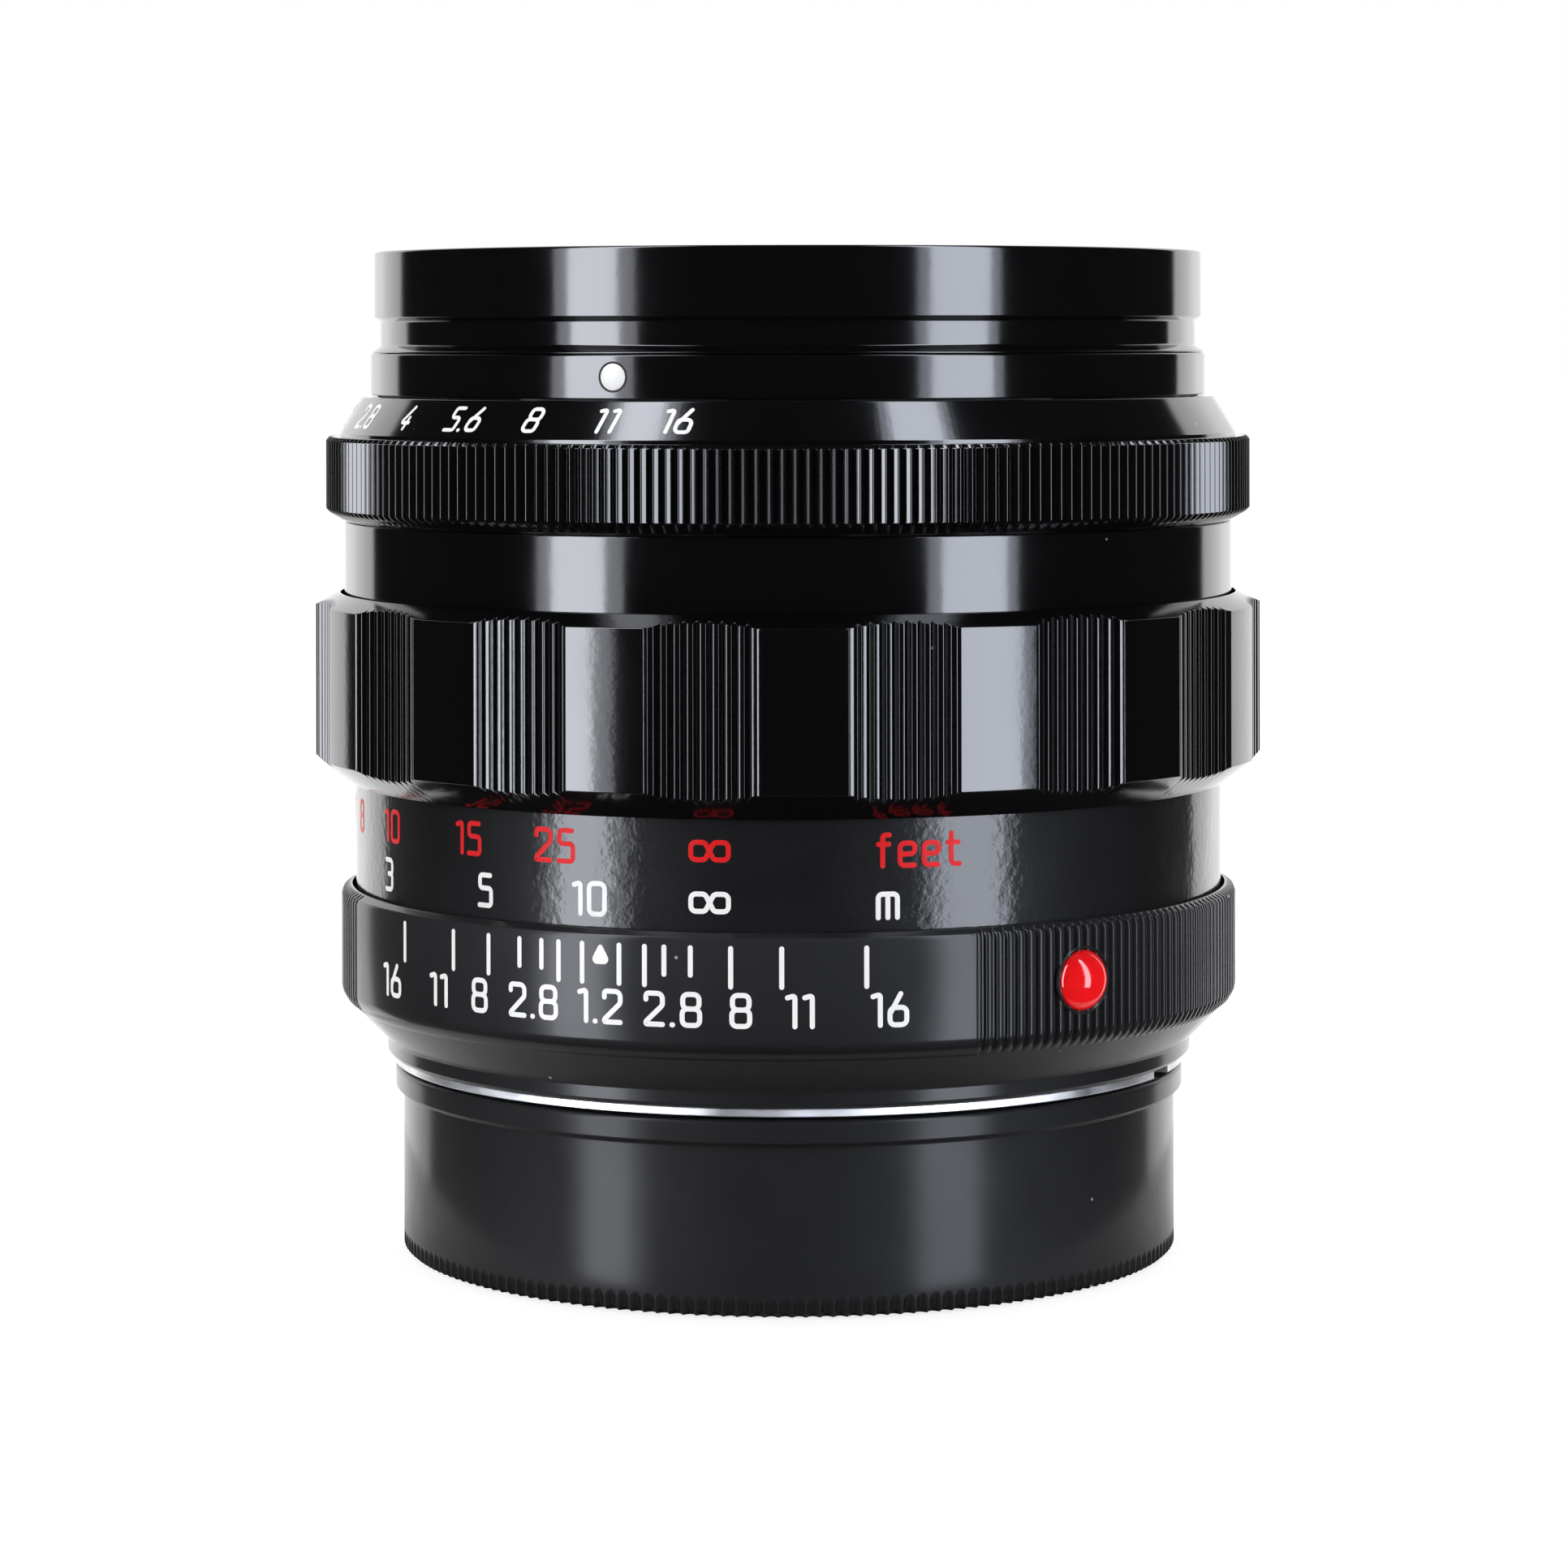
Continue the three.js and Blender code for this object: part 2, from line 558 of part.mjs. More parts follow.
function bayonetFlange() {
  let flange = turned(
    [
      [collarBore, collarFoot],
      [collarRadius, collarFoot],
      [collarRadius, flangeFace],
      [flangeRadius, flangeFace],
      [flangeRadius, flangeEdgeTop],
      [neckRadius - NECK_WALL - SEATED_GAP, flangeEdgeTop],
      [neckRadius - NECK_WALL - SEATED_GAP, flangeTop],
      [collarBore, flangeTop],
    ],
    OUTER_FACES,
  );
  for (let i = 0; i < LUG_COUNT; i += 1) {
    const middle = (360 * i) / LUG_COUNT;
    const half = LUG_SPAN / 2;
    const inner = collarRadius - COLLAR_WALL / 2;
    const top = collarFoot + LUG_THICKNESS;
    flange = flange.add(sector(inner, lugRadius, middle - half, middle + half, collarFoot, top, LUG_STEPS));
  }
  const notchHalf = degrees(NOTCH_WIDTH / 2 / flangeRadius);
  const inner = flangeRadius - NOTCH_DEPTH;
  const from = NOTCH_AZIMUTH - notchHalf;
  const to = NOTCH_AZIMUTH + notchHalf;
  flange = flange.subtract(
    sector(inner, flangeRadius + CUT_OVERRUN, from, to, flangeFace - CUT_OVERRUN, flangeEdgeTop, 1),
  );
  for (let i = 0; i < SCREW_COUNT; i += 1) {
    const seatRadius = SCREW_HEAD_RADIUS + SEATED_GAP;
    const seat = upright(seatRadius, screwCentre(i), flangeFace - CUT_OVERRUN, headSeat, SCREW_FACES);
    flange = flange.subtract(seat);
  }
  return withScrewHoles(flange);
}

function flangeScrew(i) {
  const headFoot = flangeFace + FACE_GAP;
  const headTop = headFoot + SCREW_HEAD_HEIGHT;
  const head = upright(SCREW_HEAD_RADIUS, screwCentre(i), headFoot, headTop, SCREW_FACES);
  return head.add(upright(SCREW_SHANK_RADIUS, screwCentre(i), headTop - FACE_GAP, guideFootTop));
}

// Fixed barrel: plain behind the depth-of-field scale and ribbed round the rest.
function mountBarrel() {
  const shoulderTop = neckFoot + BARREL_SHOULDER_HEIGHT;
  const slope = barrelRadius - BARREL_ROUND / 2;
  const body = turned(
    [
      [neckRadius - NECK_WALL, neckFoot],
      [neckRadius, neckFoot],
      [neckRadius, neckTop],
      [slope, shoulderTop - BARREL_ROUND],
      [barrelRadius, shoulderTop],
      [barrelRadius, barrelTop - BARREL_LIP_CHAMFER],
      [barrelRadius - BARREL_LIP_CHAMFER, barrelTop],
      [barrelBore, barrelTop],
      [barrelBore, pocketFloor],
      [hubRadius, pocketFloor],
      [hubRadius, hubTop],
      [helicoidRadius + RUNNING_GAP, hubTop],
      [helicoidRadius + RUNNING_GAP, webTop],
      [guideBore - WEB_BORE_MARGIN, webTop],
      [guideBore - WEB_BORE_MARGIN, webFoot],
      [neckRadius - NECK_WALL, webFoot],
    ],
    OUTER_FACES,
  );
  const groove = barrelRadius - BARREL_RIB_DEPTH;
  const outline = [
    ...arc(barrelRadius + RUNNING_GAP, PANEL_START, PANEL_END, PANEL_STEPS),
    ...ribbed(BARREL_RIB_COUNT, PANEL_END, 360 + PANEL_START, barrelRadius, groove).slice(1),
  ];
  let barrel = body.intersect(prism(outline, neckFoot - CUT_OVERRUN, barrelTop + CUT_OVERRUN));
  const beadHeight = barrelTop - BEAD_BELOW_TOP;
  const seatRadius = barrelRadius - BEAD_SEAT_DEPTH - SEATED_GAP;
  const seatEnd = barrelRadius + CUT_OVERRUN;
  const seat = radial(BEAD_RADIUS + SEATED_GAP, seatRadius, seatEnd, BEAD_AZIMUTH, beadHeight, BEAD_FACES);
  barrel = barrel.subtract(seat);
  return withScrewHoles(barrel);
}

// Domed bead that shows where the mount's index lies.
function indexBead() {
  const length = BEAD_SEAT_DEPTH + BEAD_PROUD;
  const curve = (BEAD_RADIUS ** 2 + BEAD_PROUD ** 2) / (2 * BEAD_PROUD);
  const outline = [[0, 0], [BEAD_RADIUS, 0]];
  for (let i = 0; i <= DOME_STEPS; i += 1) {
    const out = BEAD_RADIUS * (1 - i / DOME_STEPS);
    outline.push([out, length - sag(curve, out)]);
  }
  const made = turnedAlongRadius(outline, BEAD_FACES, barrelRadius - BEAD_SEAT_DEPTH, BEAD_AZIMUTH);
  return made.translate([0, 0, barrelTop - BEAD_BELOW_TOP]);
}

// Small solid of revolution whose own axis points outwards along a radius of the lens.
function turnedAlongRadius(outline, faces, from, azimuth) {
  const points = outline.map(([radius, height]) => new THREE.Vector2(radius, height));
  const geometry = new THREE.LatheGeometry(points, faces);
  geometry.rotateX(Math.PI);
  geometry.translate(0, -from, 0);
  geometry.rotateZ(radians(azimuth));
  return solidOf(geometry);
}

function guideTube() {
  const tube = turned(
    [
      [guideBore, guideFoot],
      [helicoidRadius, guideFoot],
      [helicoidRadius, guideFootTop],
      [guideRadius, guideFootTop],
      [guideRadius, guideTop],
      [guideBore, guideTop],
    ],
    INNER_FACES,
  );
  const pocket = keyBlock(guideBore - CUT_OVERRUN, guideRadius + CUT_OVERRUN, SEATED_GAP);
  return withScrewHoles(tube.subtract(pocket));
}

// Block across the key's azimuth, grown all round by a margin.
function keyBlock(inner, outer, margin, foot = keyFoot, top = keyFoot + KEY_LENGTH) {
  const half = KEY_WIDTH / 2 + margin;
  const geometry = new THREE.BoxGeometry(2 * half, outer - inner, top - foot + 2 * margin);
  geometry.translate(0, -(inner + outer) / 2, (foot + top) / 2);
  geometry.rotateZ(radians(KEY_AZIMUTH));
  return solidOf(geometry);
}

const keyFoot = (guideFootTop + guideTop - KEY_LENGTH) / 2;

function straightKey() {
  return keyBlock(guideBore + SEATED_GAP, helicoidRadius - RUNNING_GAP, 0);
}

function focusRetainer() {
  return ring(helicoidRadius + RUNNING_GAP, nutRadius - SEATED_GAP, retainerFoot, retainerTop, INNER_FACES);
}

function distanceSleeve() {
  const flangeBore = hubRadius + RUNNING_GAP;
  return turned(
    [
      [flangeBore, sleeveFoot],
      [sleeveRadius, sleeveFoot],
      [sleeveRadius, nutTop],
      [sleeveBore, nutTop],
      [sleeveBore, sleeveFlangeTop],
      [flangeBore, sleeveFlangeTop],
    ],
    OUTER_FACES,
  );
}

function focusNut() {
  return ring(nutBore, nutRadius, nutFoot, nutTop, OUTER_FACES);
}

// Focus ring: fluted hollows for the fingers between smooth lands of full diameter.
function focusRing() {
  const lowerBore = sleeveRadius + SEATED_GAP;
  const step = focusFoot + SLEEVE_ENGAGEMENT;
  const body = turned(
    [
      [lowerBore, focusFoot],
      [lowerBore + FOCUS_BOTTOM_EDGE, focusFoot],
      [focusRadius, focusFoot + FOCUS_BOTTOM_CHAMFER],
      [focusRadius, focusTop - FOCUS_TOP_CHAMFER],
      [focusBore + FOCUS_TOP_EDGE, focusTop],
      [focusBore, focusTop],
      [focusBore, step],
      [lowerBore, step],
    ],
    SCALLOP_COUNT * FACES_PER_SCALLOP,
  );
  const pitch = 360 / SCALLOP_COUNT;
  const half = SCALLOP_SPAN / 2;
  const outline = [];
  for (let i = 0; i < SCALLOP_COUNT; i += 1) {
    const middle = i * pitch;
    outline.push(polar(focusRadius + FACE_GAP, middle - half));
    for (let j = 0; j < FLUTES_PER_SCALLOP; j += 1) {
      const groove = (2 * j + 1) / FLUTES_PER_SCALLOP - 1;
      const ridge = (2 * j + 2) / FLUTES_PER_SCALLOP - 1;
      const hollow = (along) => focusRadius - SCALLOP_DEPTH * (1 - along * along);
      outline.push(polar(hollow(groove) - FLUTE_DEPTH, middle + half * groove));
      if (j < FLUTES_PER_SCALLOP - 1) outline.push(polar(hollow(ridge), middle + half * ridge));
    }
    outline.push(polar(focusRadius + FACE_GAP, middle + half));
    outline.push(polar(focusRadius + FACE_GAP, middle + pitch / 2));
  }
  return body.intersect(prism(outline, focusFoot - CUT_OVERRUN, focusTop + CUT_OVERRUN));
}

function headHelicoid() {
  const thread = turned(
    [
      [helicoidBore, helicoidFoot],
      [helicoidRadius, helicoidFoot],
      [helicoidRadius, helicoidFlangeFoot],
      [tubeRadius, helicoidFlangeFoot],
      [tubeRadius, helicoidFlangeTop],
      [tubeBore - SEATED_GAP, helicoidFlangeTop],
      [tubeBore - SEATED_GAP, helicoidTop],
      [helicoidBore, helicoidTop],
    ],
    INNER_FACES,
  );
  const slotTop = keyFoot + KEY_LENGTH + 2 * headTravelToInfinity + RUNNING_GAP;
  const inner = helicoidBore - CUT_OVERRUN;
  const outer = helicoidRadius + CUT_OVERRUN;
  return thread.subtract(keyBlock(inner, outer, KEY_SIDE_CLEARANCE, helicoidFoot - CUT_OVERRUN, slotTop));
}

function lensTube() {
  const tube = ring(tubeBore, tubeRadius, tubeFoot, tubeTop, INNER_FACES);
  const margin = degrees((LINK_PIN_RADIUS + RUNNING_GAP) / tubeRadius);
  const from = LINK_PIN_AZIMUTH - APERTURE_CLOSING - margin;
  const to = LINK_PIN_AZIMUTH + APERTURE_OPENING + margin;
  const half = LINK_PIN_RADIUS + RUNNING_GAP;
  const inner = tubeBore - CUT_OVERRUN;
  const outer = tubeRadius + CUT_OVERRUN;
  const foot = linkPinHeight - half;
  return tube.subtract(sector(inner, outer, from, to, foot, foot + 2 * half, LINK_SLOT_STEPS));
}

function headBarrel() {
  const bore = tubeRadius + SEATED_GAP;
  const inner = headBarrelRadius - HEAD_BARREL_WALL;
  const webFootHeight = shoulder - HEAD_WEB_THICKNESS;
  const barrel = turned(
    [
      [bore, webFootHeight],
      [inner, webFootHeight],
      [inner, shoulder - HEAD_BARREL_SKIRT],
      [headBarrelRadius, shoulder - HEAD_BARREL_SKIRT],
      [headBarrelRadius, shoulder],
      [bore, shoulder],
    ],
    OUTER_FACES,
  );
  const pocketDepth = 2 * CLICK_BALL_RADIUS + CLICK_SPRING_LENGTH + 2 * FACE_GAP;
  return barrel.subtract(
    upright(CLICK_BALL_RADIUS + SEATED_GAP, clickCentre, shoulder - pocketDepth, shoulder + CUT_OVERRUN),
  );
}

const clickCentre = polar((tubeRadius + headBarrelRadius) / 2, CLICK_AZIMUTH);
const clickBallFoot = shoulder - 2 * CLICK_BALL_RADIUS;

function clickBall() {
  const ball = new THREE.IcosahedronGeometry(CLICK_BALL_RADIUS, 1);
  ball.translate(clickCentre.x, clickCentre.y, shoulder - CLICK_BALL_RADIUS);
  return solidOf(ball);
}

function clickSpring() {
  const top = clickBallFoot - FACE_GAP;
  const radius = CLICK_BALL_RADIUS - SEATED_GAP;
  const foot = top - CLICK_SPRING_LENGTH;
  const coil = upright(radius, clickCentre, foot, top);
  return coil.subtract(upright(radius - CLICK_SPRING_WALL, clickCentre, foot - CUT_OVERRUN, top + CUT_OVERRUN));
}

// Aperture ring: undercut foot, ribbed band and the cone that carries the f-numbers.
function apertureRing() {
  const band = apertureBore + APERTURE_BAND_WALL;
  const bandFoot = apertureFoot + APERTURE_FOOT_HEIGHT;
  const bandTop = bandFoot + APERTURE_BAND_HEIGHT;
  const body = turned(
    [
      [apertureBore, apertureFoot],
      [band - APERTURE_FOOT_STEP, apertureFoot],
      [band, bandFoot + APERTURE_BAND_CHAMFER],
      [band, bandTop - APERTURE_BAND_CHAMFER],
      [band - APERTURE_BAND_CHAMFER, bandTop],
      [apertureBore + APERTURE_CONE_FOOT_WALL, bandTop],
      [apertureBore + APERTURE_CONE_FOOT_WALL, bandTop + APERTURE_BAND_CHAMFER],
      [apertureBore + APERTURE_CONE_TOP_WALL, apertureTop],
      [apertureBore, apertureTop],
    ],
    APERTURE_RIB_COUNT,
  );
  const ribs = ribbed(APERTURE_RIB_COUNT, 0, 360, band + FACE_GAP, band - APERTURE_RIB_DEPTH);
  const grip = prism(ribs, apertureFoot - CUT_OVERRUN, apertureTop + CUT_OVERRUN);
  return body.intersect(grip).subtract(linkPinHole(apertureBore - CUT_OVERRUN, apertureBore + LINK_PIN_BITE));
}

function linkPinHole(from, to) {
  return radial(LINK_PIN_RADIUS + SEATED_GAP, from, to, LINK_PIN_AZIMUTH, linkPinHeight);
}

function linkPin() {
  const from = camCollarBore + FACE_GAP;
  const to = apertureBore + LINK_PIN_BITE - SEATED_GAP;
  return radial(LINK_PIN_RADIUS, from, to, LINK_PIN_AZIMUTH, linkPinHeight);
}

function apertureIndexRing() {
  const bore = tubeRadius + SEATED_GAP;
  const made = ring(bore, bore + INDEX_RING_WALL, indexFoot, indexTop, OUTER_FACES);
  const height = (indexFoot + indexTop) / 2;
  const outer = bore + INDEX_RING_WALL;
  const seat = outer - INDEX_DOT_SEAT_DEPTH;
  return made.subtract(radial(INDEX_DOT_RADIUS + FACE_GAP, seat, outer + CUT_OVERRUN, 0, height, BEAD_FACES));
}

function indexDot() {
  const outer = tubeRadius + SEATED_GAP + INDEX_RING_WALL;
  const from = outer - INDEX_DOT_SEAT_DEPTH + FACE_GAP;
  return radial(INDEX_DOT_RADIUS, from, outer + INDEX_DOT_PROUD, 0, (indexFoot + indexTop) / 2, BEAD_FACES);
}

// Filter ring: threaded bore for a filter, and the groove that a hood clips into.
function filterRing() {
  const groove = filterRadius - HOOD_GROOVE_DEPTH;
  const rimFoot = rimTop - FILTER_RIM_HEIGHT;
  const grooveTop = rimFoot - FILTER_RIM_CHAMFER;
  const grooveFoot = grooveTop - HOOD_GROOVE_WIDTH;
  const skirt = tubeRadius + SEATED_GAP + INDEX_RING_WALL;
  return turned(
    [
      [filterBore, filterFoot],
      [skirt, filterFoot],
      [groove, grooveFoot],
      [groove, grooveTop],
      [filterRadius, rimFoot],
      [filterRadius, rimTop],
      [filterBore, rimTop],
    ],
    OUTER_FACES,
  );
}

function frontBezel() {
  const outer = filterBore - SEATED_GAP;
  const neck = frontGlassBore - SEATED_GAP;
  const inner = neck - BEZEL_INNER_WALL;
  return turned(
    [
      [inner, frontGlassFront - sag(FRONT_GLASS_CURVE, inner) + FACE_GAP],
      [neck, frontGlassEdge + FACE_GAP],
      [neck, frontCellTop + FACE_GAP],
      [outer, frontCellTop + FACE_GAP],
      [outer, bezelTop],
      [outer - BEZEL_FACE_WIDTH, bezelTop],
      [inner, frontCellTop - BEZEL_CONE_DROP],
    ],
    INNER_FACES,
  );
}

function frontCell() {
  const doubletBore = SECOND_GLASS_RADIUS + GLASS_GAP;
  return turned(
    [
      [doubletBore - FRONT_CELL_WALL, frontCellFoot],
      [frontCellRadius, frontCellFoot],
      [frontCellRadius, frontCellFlangeFoot],
      [tubeBore - SEATED_GAP, frontCellFlangeFoot],
      [tubeBore - SEATED_GAP, frontCellTop],
      [frontGlassBore, frontCellTop],
      [frontGlassBore, secondGlassBack],
      [doubletBore, secondGlassBack],
      [doubletBore, thirdGlassRim - FACE_GAP],
      [doubletBore - FRONT_CELL_WALL, thirdGlassRim - FACE_GAP],
    ],
    INNER_FACES,
  );
}

function frontSpacer() {
  const outer = frontGlassBore - SEATED_GAP;
  const foot = secondGlassBack + FACE_GAP;
  const top = frontGlassBack - sag(FRONT_GLASS_BACK_CURVE, frontGlassRadius) - FACE_GAP;
  const inner = SECOND_GLASS_RADIUS + SPACER_CLEARANCE;
  return turned([[inner, foot], [outer, foot], [outer, top], [inner + SPACER_BEVEL, top]], INNER_FACES);
}

function rearCell() {
  const bore = FIFTH_GLASS_RADIUS + GLASS_GAP;
  const seat = bore - REAR_SHOULDER_WALL;
  const seatHeight = fifthGlassBack + sag(FIFTH_GLASS_CURVE, seat) - FACE_GAP;
  return turned(
    [
      [lastBore, rearCellFootHeight],
      [rearCellFoot, rearCellFootHeight],
      [rearCellFoot, camTubeTop + FACE_GAP],
      [rearCellFoot + REAR_CELL_STEP, camTubeTop + FACE_GAP],
      [rearCellFoot + REAR_CELL_STEP, rearCellTop - CELL_FLANGE_THICKNESS],
      [helicoidBore - SLIDING_FACE_GAP, rearCellTop - CELL_FLANGE_THICKNESS],
      [helicoidBore - SLIDING_FACE_GAP, rearCellTop],
      [bore, rearCellTop],
      [bore, fifthGlassEdge - FACE_GAP],
      [seat, seatHeight],
      [seat, seatHeight - REAR_SHOULDER_WALL],
      [lastBore, camTubeTop + FACE_GAP],
    ],
    INNER_FACES,
  );
}

function rangefinderCam() {
  return ring(camTubeBore, camTubeRadius, collarFoot + CAM_TUBE_RECESS, camTubeTop, INNER_FACES);
}

function doubletRetainer() {
  const outer = FIFTH_GLASS_RADIUS + GLASS_GAP - SEATED_GAP;
  const foot = fourthGlassRim + FACE_GAP;
  return ring(outer - DOUBLET_RING_WALL, outer, foot, foot + DOUBLET_RING_THICKNESS, INNER_FACES);
}

function rearRetainer() {
  const outer = lastBore - SEATED_GAP;
  const inner = outer - REAR_RING_WALL;
  const top = lastGlassBack + lastGlassSag - FACE_GAP;
  const innerTop = lastGlassBack + sag(LAST_GLASS_CURVE, inner) - FACE_GAP;
  const foot = top - REAR_RING_LENGTH;
  return turned([[inner, foot], [outer, foot], [outer, top], [inner, innerTop]], INNER_FACES);
}

// Points of a glass surface from the axis outwards; a positive bulge stands above the vertex's edge.
function surface(vertex, curve, clear, bulge, steps = 3) {
  return Array.from({ length: steps + 1 }, (_, i) => {
    const out = (clear * i) / steps;
    return [out, vertex - bulge * sag(curve, out)];
  });
}

function lensElement(front, rear, radius) {
  const rim = [];
  if (front.at(-1)[0] < radius) rim.push([radius, front.at(-1)[1]]);
  if (rear.at(-1)[0] < radius) rim.push([radius, rear.at(-1)[1]]);
  return turned([...front, ...rim, ...rear.toReversed()], GLASS_FACES);
}

function glassElements(group) {
  const elements = [
    lensElement(
      surface(frontGlassFront, FRONT_GLASS_CURVE, frontGlassRadius, 1),
      surface(frontGlassBack, FRONT_GLASS_BACK_CURVE, frontGlassRadius, 1, 1),
      frontGlassRadius,
    ),
    lensElement(
      surface(secondGlassFront, SECOND_GLASS_CURVE, SECOND_GLASS_RADIUS, 1),
      [[0, secondGlassBack + FACE_GAP], [SECOND_GLASS_RADIUS, secondGlassBack + FACE_GAP]],
      SECOND_GLASS_RADIUS,
    ),
    lensElement(
      [[0, secondGlassBack], [SECOND_GLASS_RADIUS, secondGlassBack]],
      surface(thirdGlassBack, IRIS_FRONT_CURVE, IRIS_FRONT_CLEAR_RADIUS, 1),
      SECOND_GLASS_RADIUS,
    ),
    lensElement(
      surface(fourthGlassFront, IRIS_REAR_CURVE, IRIS_REAR_CLEAR_RADIUS, -1),
      [[0, fifthGlassFront + FACE_GAP], [FIFTH_GLASS_RADIUS, fifthGlassFront + FACE_GAP]],
      FIFTH_GLASS_RADIUS,
    ),
    lensElement(
      [[0, fifthGlassFront], [FIFTH_GLASS_RADIUS, fifthGlassFront]],
      surface(fifthGlassBack, FIFTH_GLASS_CURVE, FIFTH_GLASS_RADIUS, -1),
      FIFTH_GLASS_RADIUS,
    ),
    lensElement(
      surface(lastGlassFront, LAST_GLASS_CURVE, LAST_GLASS_RADIUS, 1, 2),
      surface(lastGlassBack, LAST_GLASS_CURVE, LAST_GLASS_RADIUS, -1, 2),
      LAST_GLASS_RADIUS,
    ),
  ];
  elements.forEach((element, i) => piece(group, `glass_element_${i + 1}`, element, looks.glass));
}

// Fixed plate under the blades, with a hole for each blade's pivot pin.
function irisBase() {
  let plate = ring(IRIS_OPEN_RADIUS, tubeBore - SEATED_GAP, irisBaseFoot, irisBaseTop, INNER_FACES);
  for (let i = 0; i < BLADE_COUNT; i += 1) {
    const centre = polar(pivotRadius, i * bladePitchAngle);
    const radius = IRIS_PIN_RADIUS + IRIS_PIN_CLEARANCE;
    plate = plate.subtract(upright(radius, centre, irisBaseFoot - CUT_OVERRUN, irisBaseTop + CUT_OVERRUN));
  }
  return plate;
}

// Where the first blade's drive pin stands when the aperture ring is turned by an angle from rest.
function drivePinAt(ringTurn) {
  const swing = (APERTURE_OPENING - ringTurn) * bladeRatio;
  return turnedPoint(polar(drivePinRadius, DRIVE_PIN_LEAD), polar(pivotRadius, 0), swing);
}

// Slot that the first drive pin follows, drawn on the cam ring at rest.
function camSlot() {
  const half = IRIS_PIN_RADIUS + IRIS_PIN_CLEARANCE;
  const from = -APERTURE_CLOSING - CAM_SLOT_OVERRUN;
  const to = APERTURE_OPENING + CAM_SLOT_OVERRUN;
  const centre = new THREE.Vector2();
  const path = Array.from({ length: CAM_SLOT_STEPS + 1 }, (_, i) => {
    const turn = from + ((to - from) * i) / CAM_SLOT_STEPS;
    return turnedPoint(drivePinAt(turn), centre, -turn);
  });
  const side = (sign) =>
    path.map((point, i) => {
      const before = path[Math.max(i - 1, 0)];
      const after = path[Math.min(i + 1, CAM_SLOT_STEPS)];
      const along = after.clone().sub(before).normalize();
      return point.clone().add(new THREE.Vector2(-along.y, along.x).multiplyScalar(sign * half));
    });
  return prism([...side(1), ...side(-1).reverse()], camPlateFoot - CUT_OVERRUN, camPlateTop);
}

// Turning ring over the blades: slotted plate with a tall collar that the link pin drives.
function irisCamRing() {
  let cam = turned(
    [
      [IRIS_OPEN_RADIUS, camPlateFoot],
      [camCollarRadius, camPlateFoot],
      [camCollarRadius, camCollarTop],
      [camCollarBore, camCollarTop],
      [camCollarBore, camPlateTop],
      [IRIS_OPEN_RADIUS, camPlateTop],
    ],
    INNER_FACES,
  );
  for (let i = 0; i < BLADE_COUNT; i += 1) {
    cam = cam.subtract(camSlot().rotate([0, 0, i * bladePitchAngle]));
  }
  return cam.subtract(linkPinHole(camCollarBore - CUT_OVERRUN, camCollarRadius + CUT_OVERRUN));
}

// One crescent blade, fully open and drawn from its own pivot, which lies towards -Y.
function irisBlade(layer) {
  const pivot = polar(pivotRadius, 0);
  const drive = polar(drivePinRadius, DRIVE_PIN_LEAD);
  const foot = bladeStackFoot + layer * BLADE_PITCH;
  const top = foot + BLADE_THICKNESS;
  const middle = (bladeInner + bladeOuter) / 2;
  const bodySpan = BLADE_SPAN - degrees(BLADE_WIDTH / 2 / middle);
  const tip = Array.from({ length: BLADE_TIP_STEPS - 1 }, (_, i) => {
    const turn = ((i + 1) * Math.PI) / BLADE_TIP_STEPS;
    const along = bodySpan + (BLADE_SPAN - bodySpan) * Math.sin(turn);
    return polar(middle + (BLADE_WIDTH / 2) * Math.cos(turn), along);
  });
  const bossSpan = degrees((2 * IRIS_TAB_RADIUS) / bladeOuter);
  const outline = [
    ...boss(pivot, IRIS_TAB_RADIUS, 0),
    polar(bladeOuter, bossSpan),
    polar(bladeOuter, DRIVE_PIN_LEAD - bossSpan),
    ...boss(drive, IRIS_TAB_RADIUS, DRIVE_PIN_LEAD),
    ...arc(bladeOuter, DRIVE_PIN_LEAD + bossSpan, bodySpan, BLADE_EDGE_STEPS - 1),
    ...tip,
    ...arc(bladeInner, bodySpan, 0, BLADE_EDGE_STEPS),
  ];
  const blade = prism(outline, foot, top)
    .add(upright(IRIS_PIN_RADIUS, pivot, irisBaseTop - IRIS_PIN_DEPTH, top))
    .add(upright(IRIS_PIN_RADIUS, drive, foot, camPlateFoot + IRIS_PIN_DEPTH));
  return blade.translate([-pivot.x, -pivot.y, 0]);
}

function irisBlades(group) {
  const restSwing = APERTURE_OPENING * bladeRatio;
  for (let i = 0; i < BLADE_COUNT; i += 1) {
    const azimuth = i * bladePitchAngle;
    const pivot = polar(pivotRadius, azimuth);
    const name = `iris_blade_${String(i + 1).padStart(2, "0")}`;
    const blade = piece(group, name, irisBlade(i), looks.blade);
    blade.position.set(pivot.x, pivot.y, 0);
    blade.rotation.z = radians(azimuth + restSwing);
  }
}

function mountGroup() {
  const group = new THREE.Group();
  piece(group, "depth_scale_ring", mountBarrel(), looks.satinBlack);
  piece(group, "index_bead", indexBead(), looks.redBead);
  piece(group, "bayonet_flange", bayonetFlange(), looks.chrome);
  piece(group, "guide_tube", guideTube(), looks.anodised);
  piece(group, "straight_key", straightKey(), looks.steel);
  piece(group, "focus_retaining_ring", focusRetainer(), looks.anodised);
  for (let i = 0; i < SCREW_COUNT; i += 1) {
    piece(group, `flange_screw_${i + 1}`, flangeScrew(i), looks.steel);
  }
  return group;
}

// Everything that turns with the focus ring, drawn with a hollow at the infinity mark.
function focusGroup() {
  const group = new THREE.Group();
  group.rotation.z = radians(FOCUS_REST);
  piece(group, "focus_ring", focusRing(), looks.blackEnamel);
  piece(group, "distance_scale_sleeve", distanceSleeve(), looks.satinBlack);
  piece(group, "focus_nut", focusNut(), looks.brass);
  return group;
}

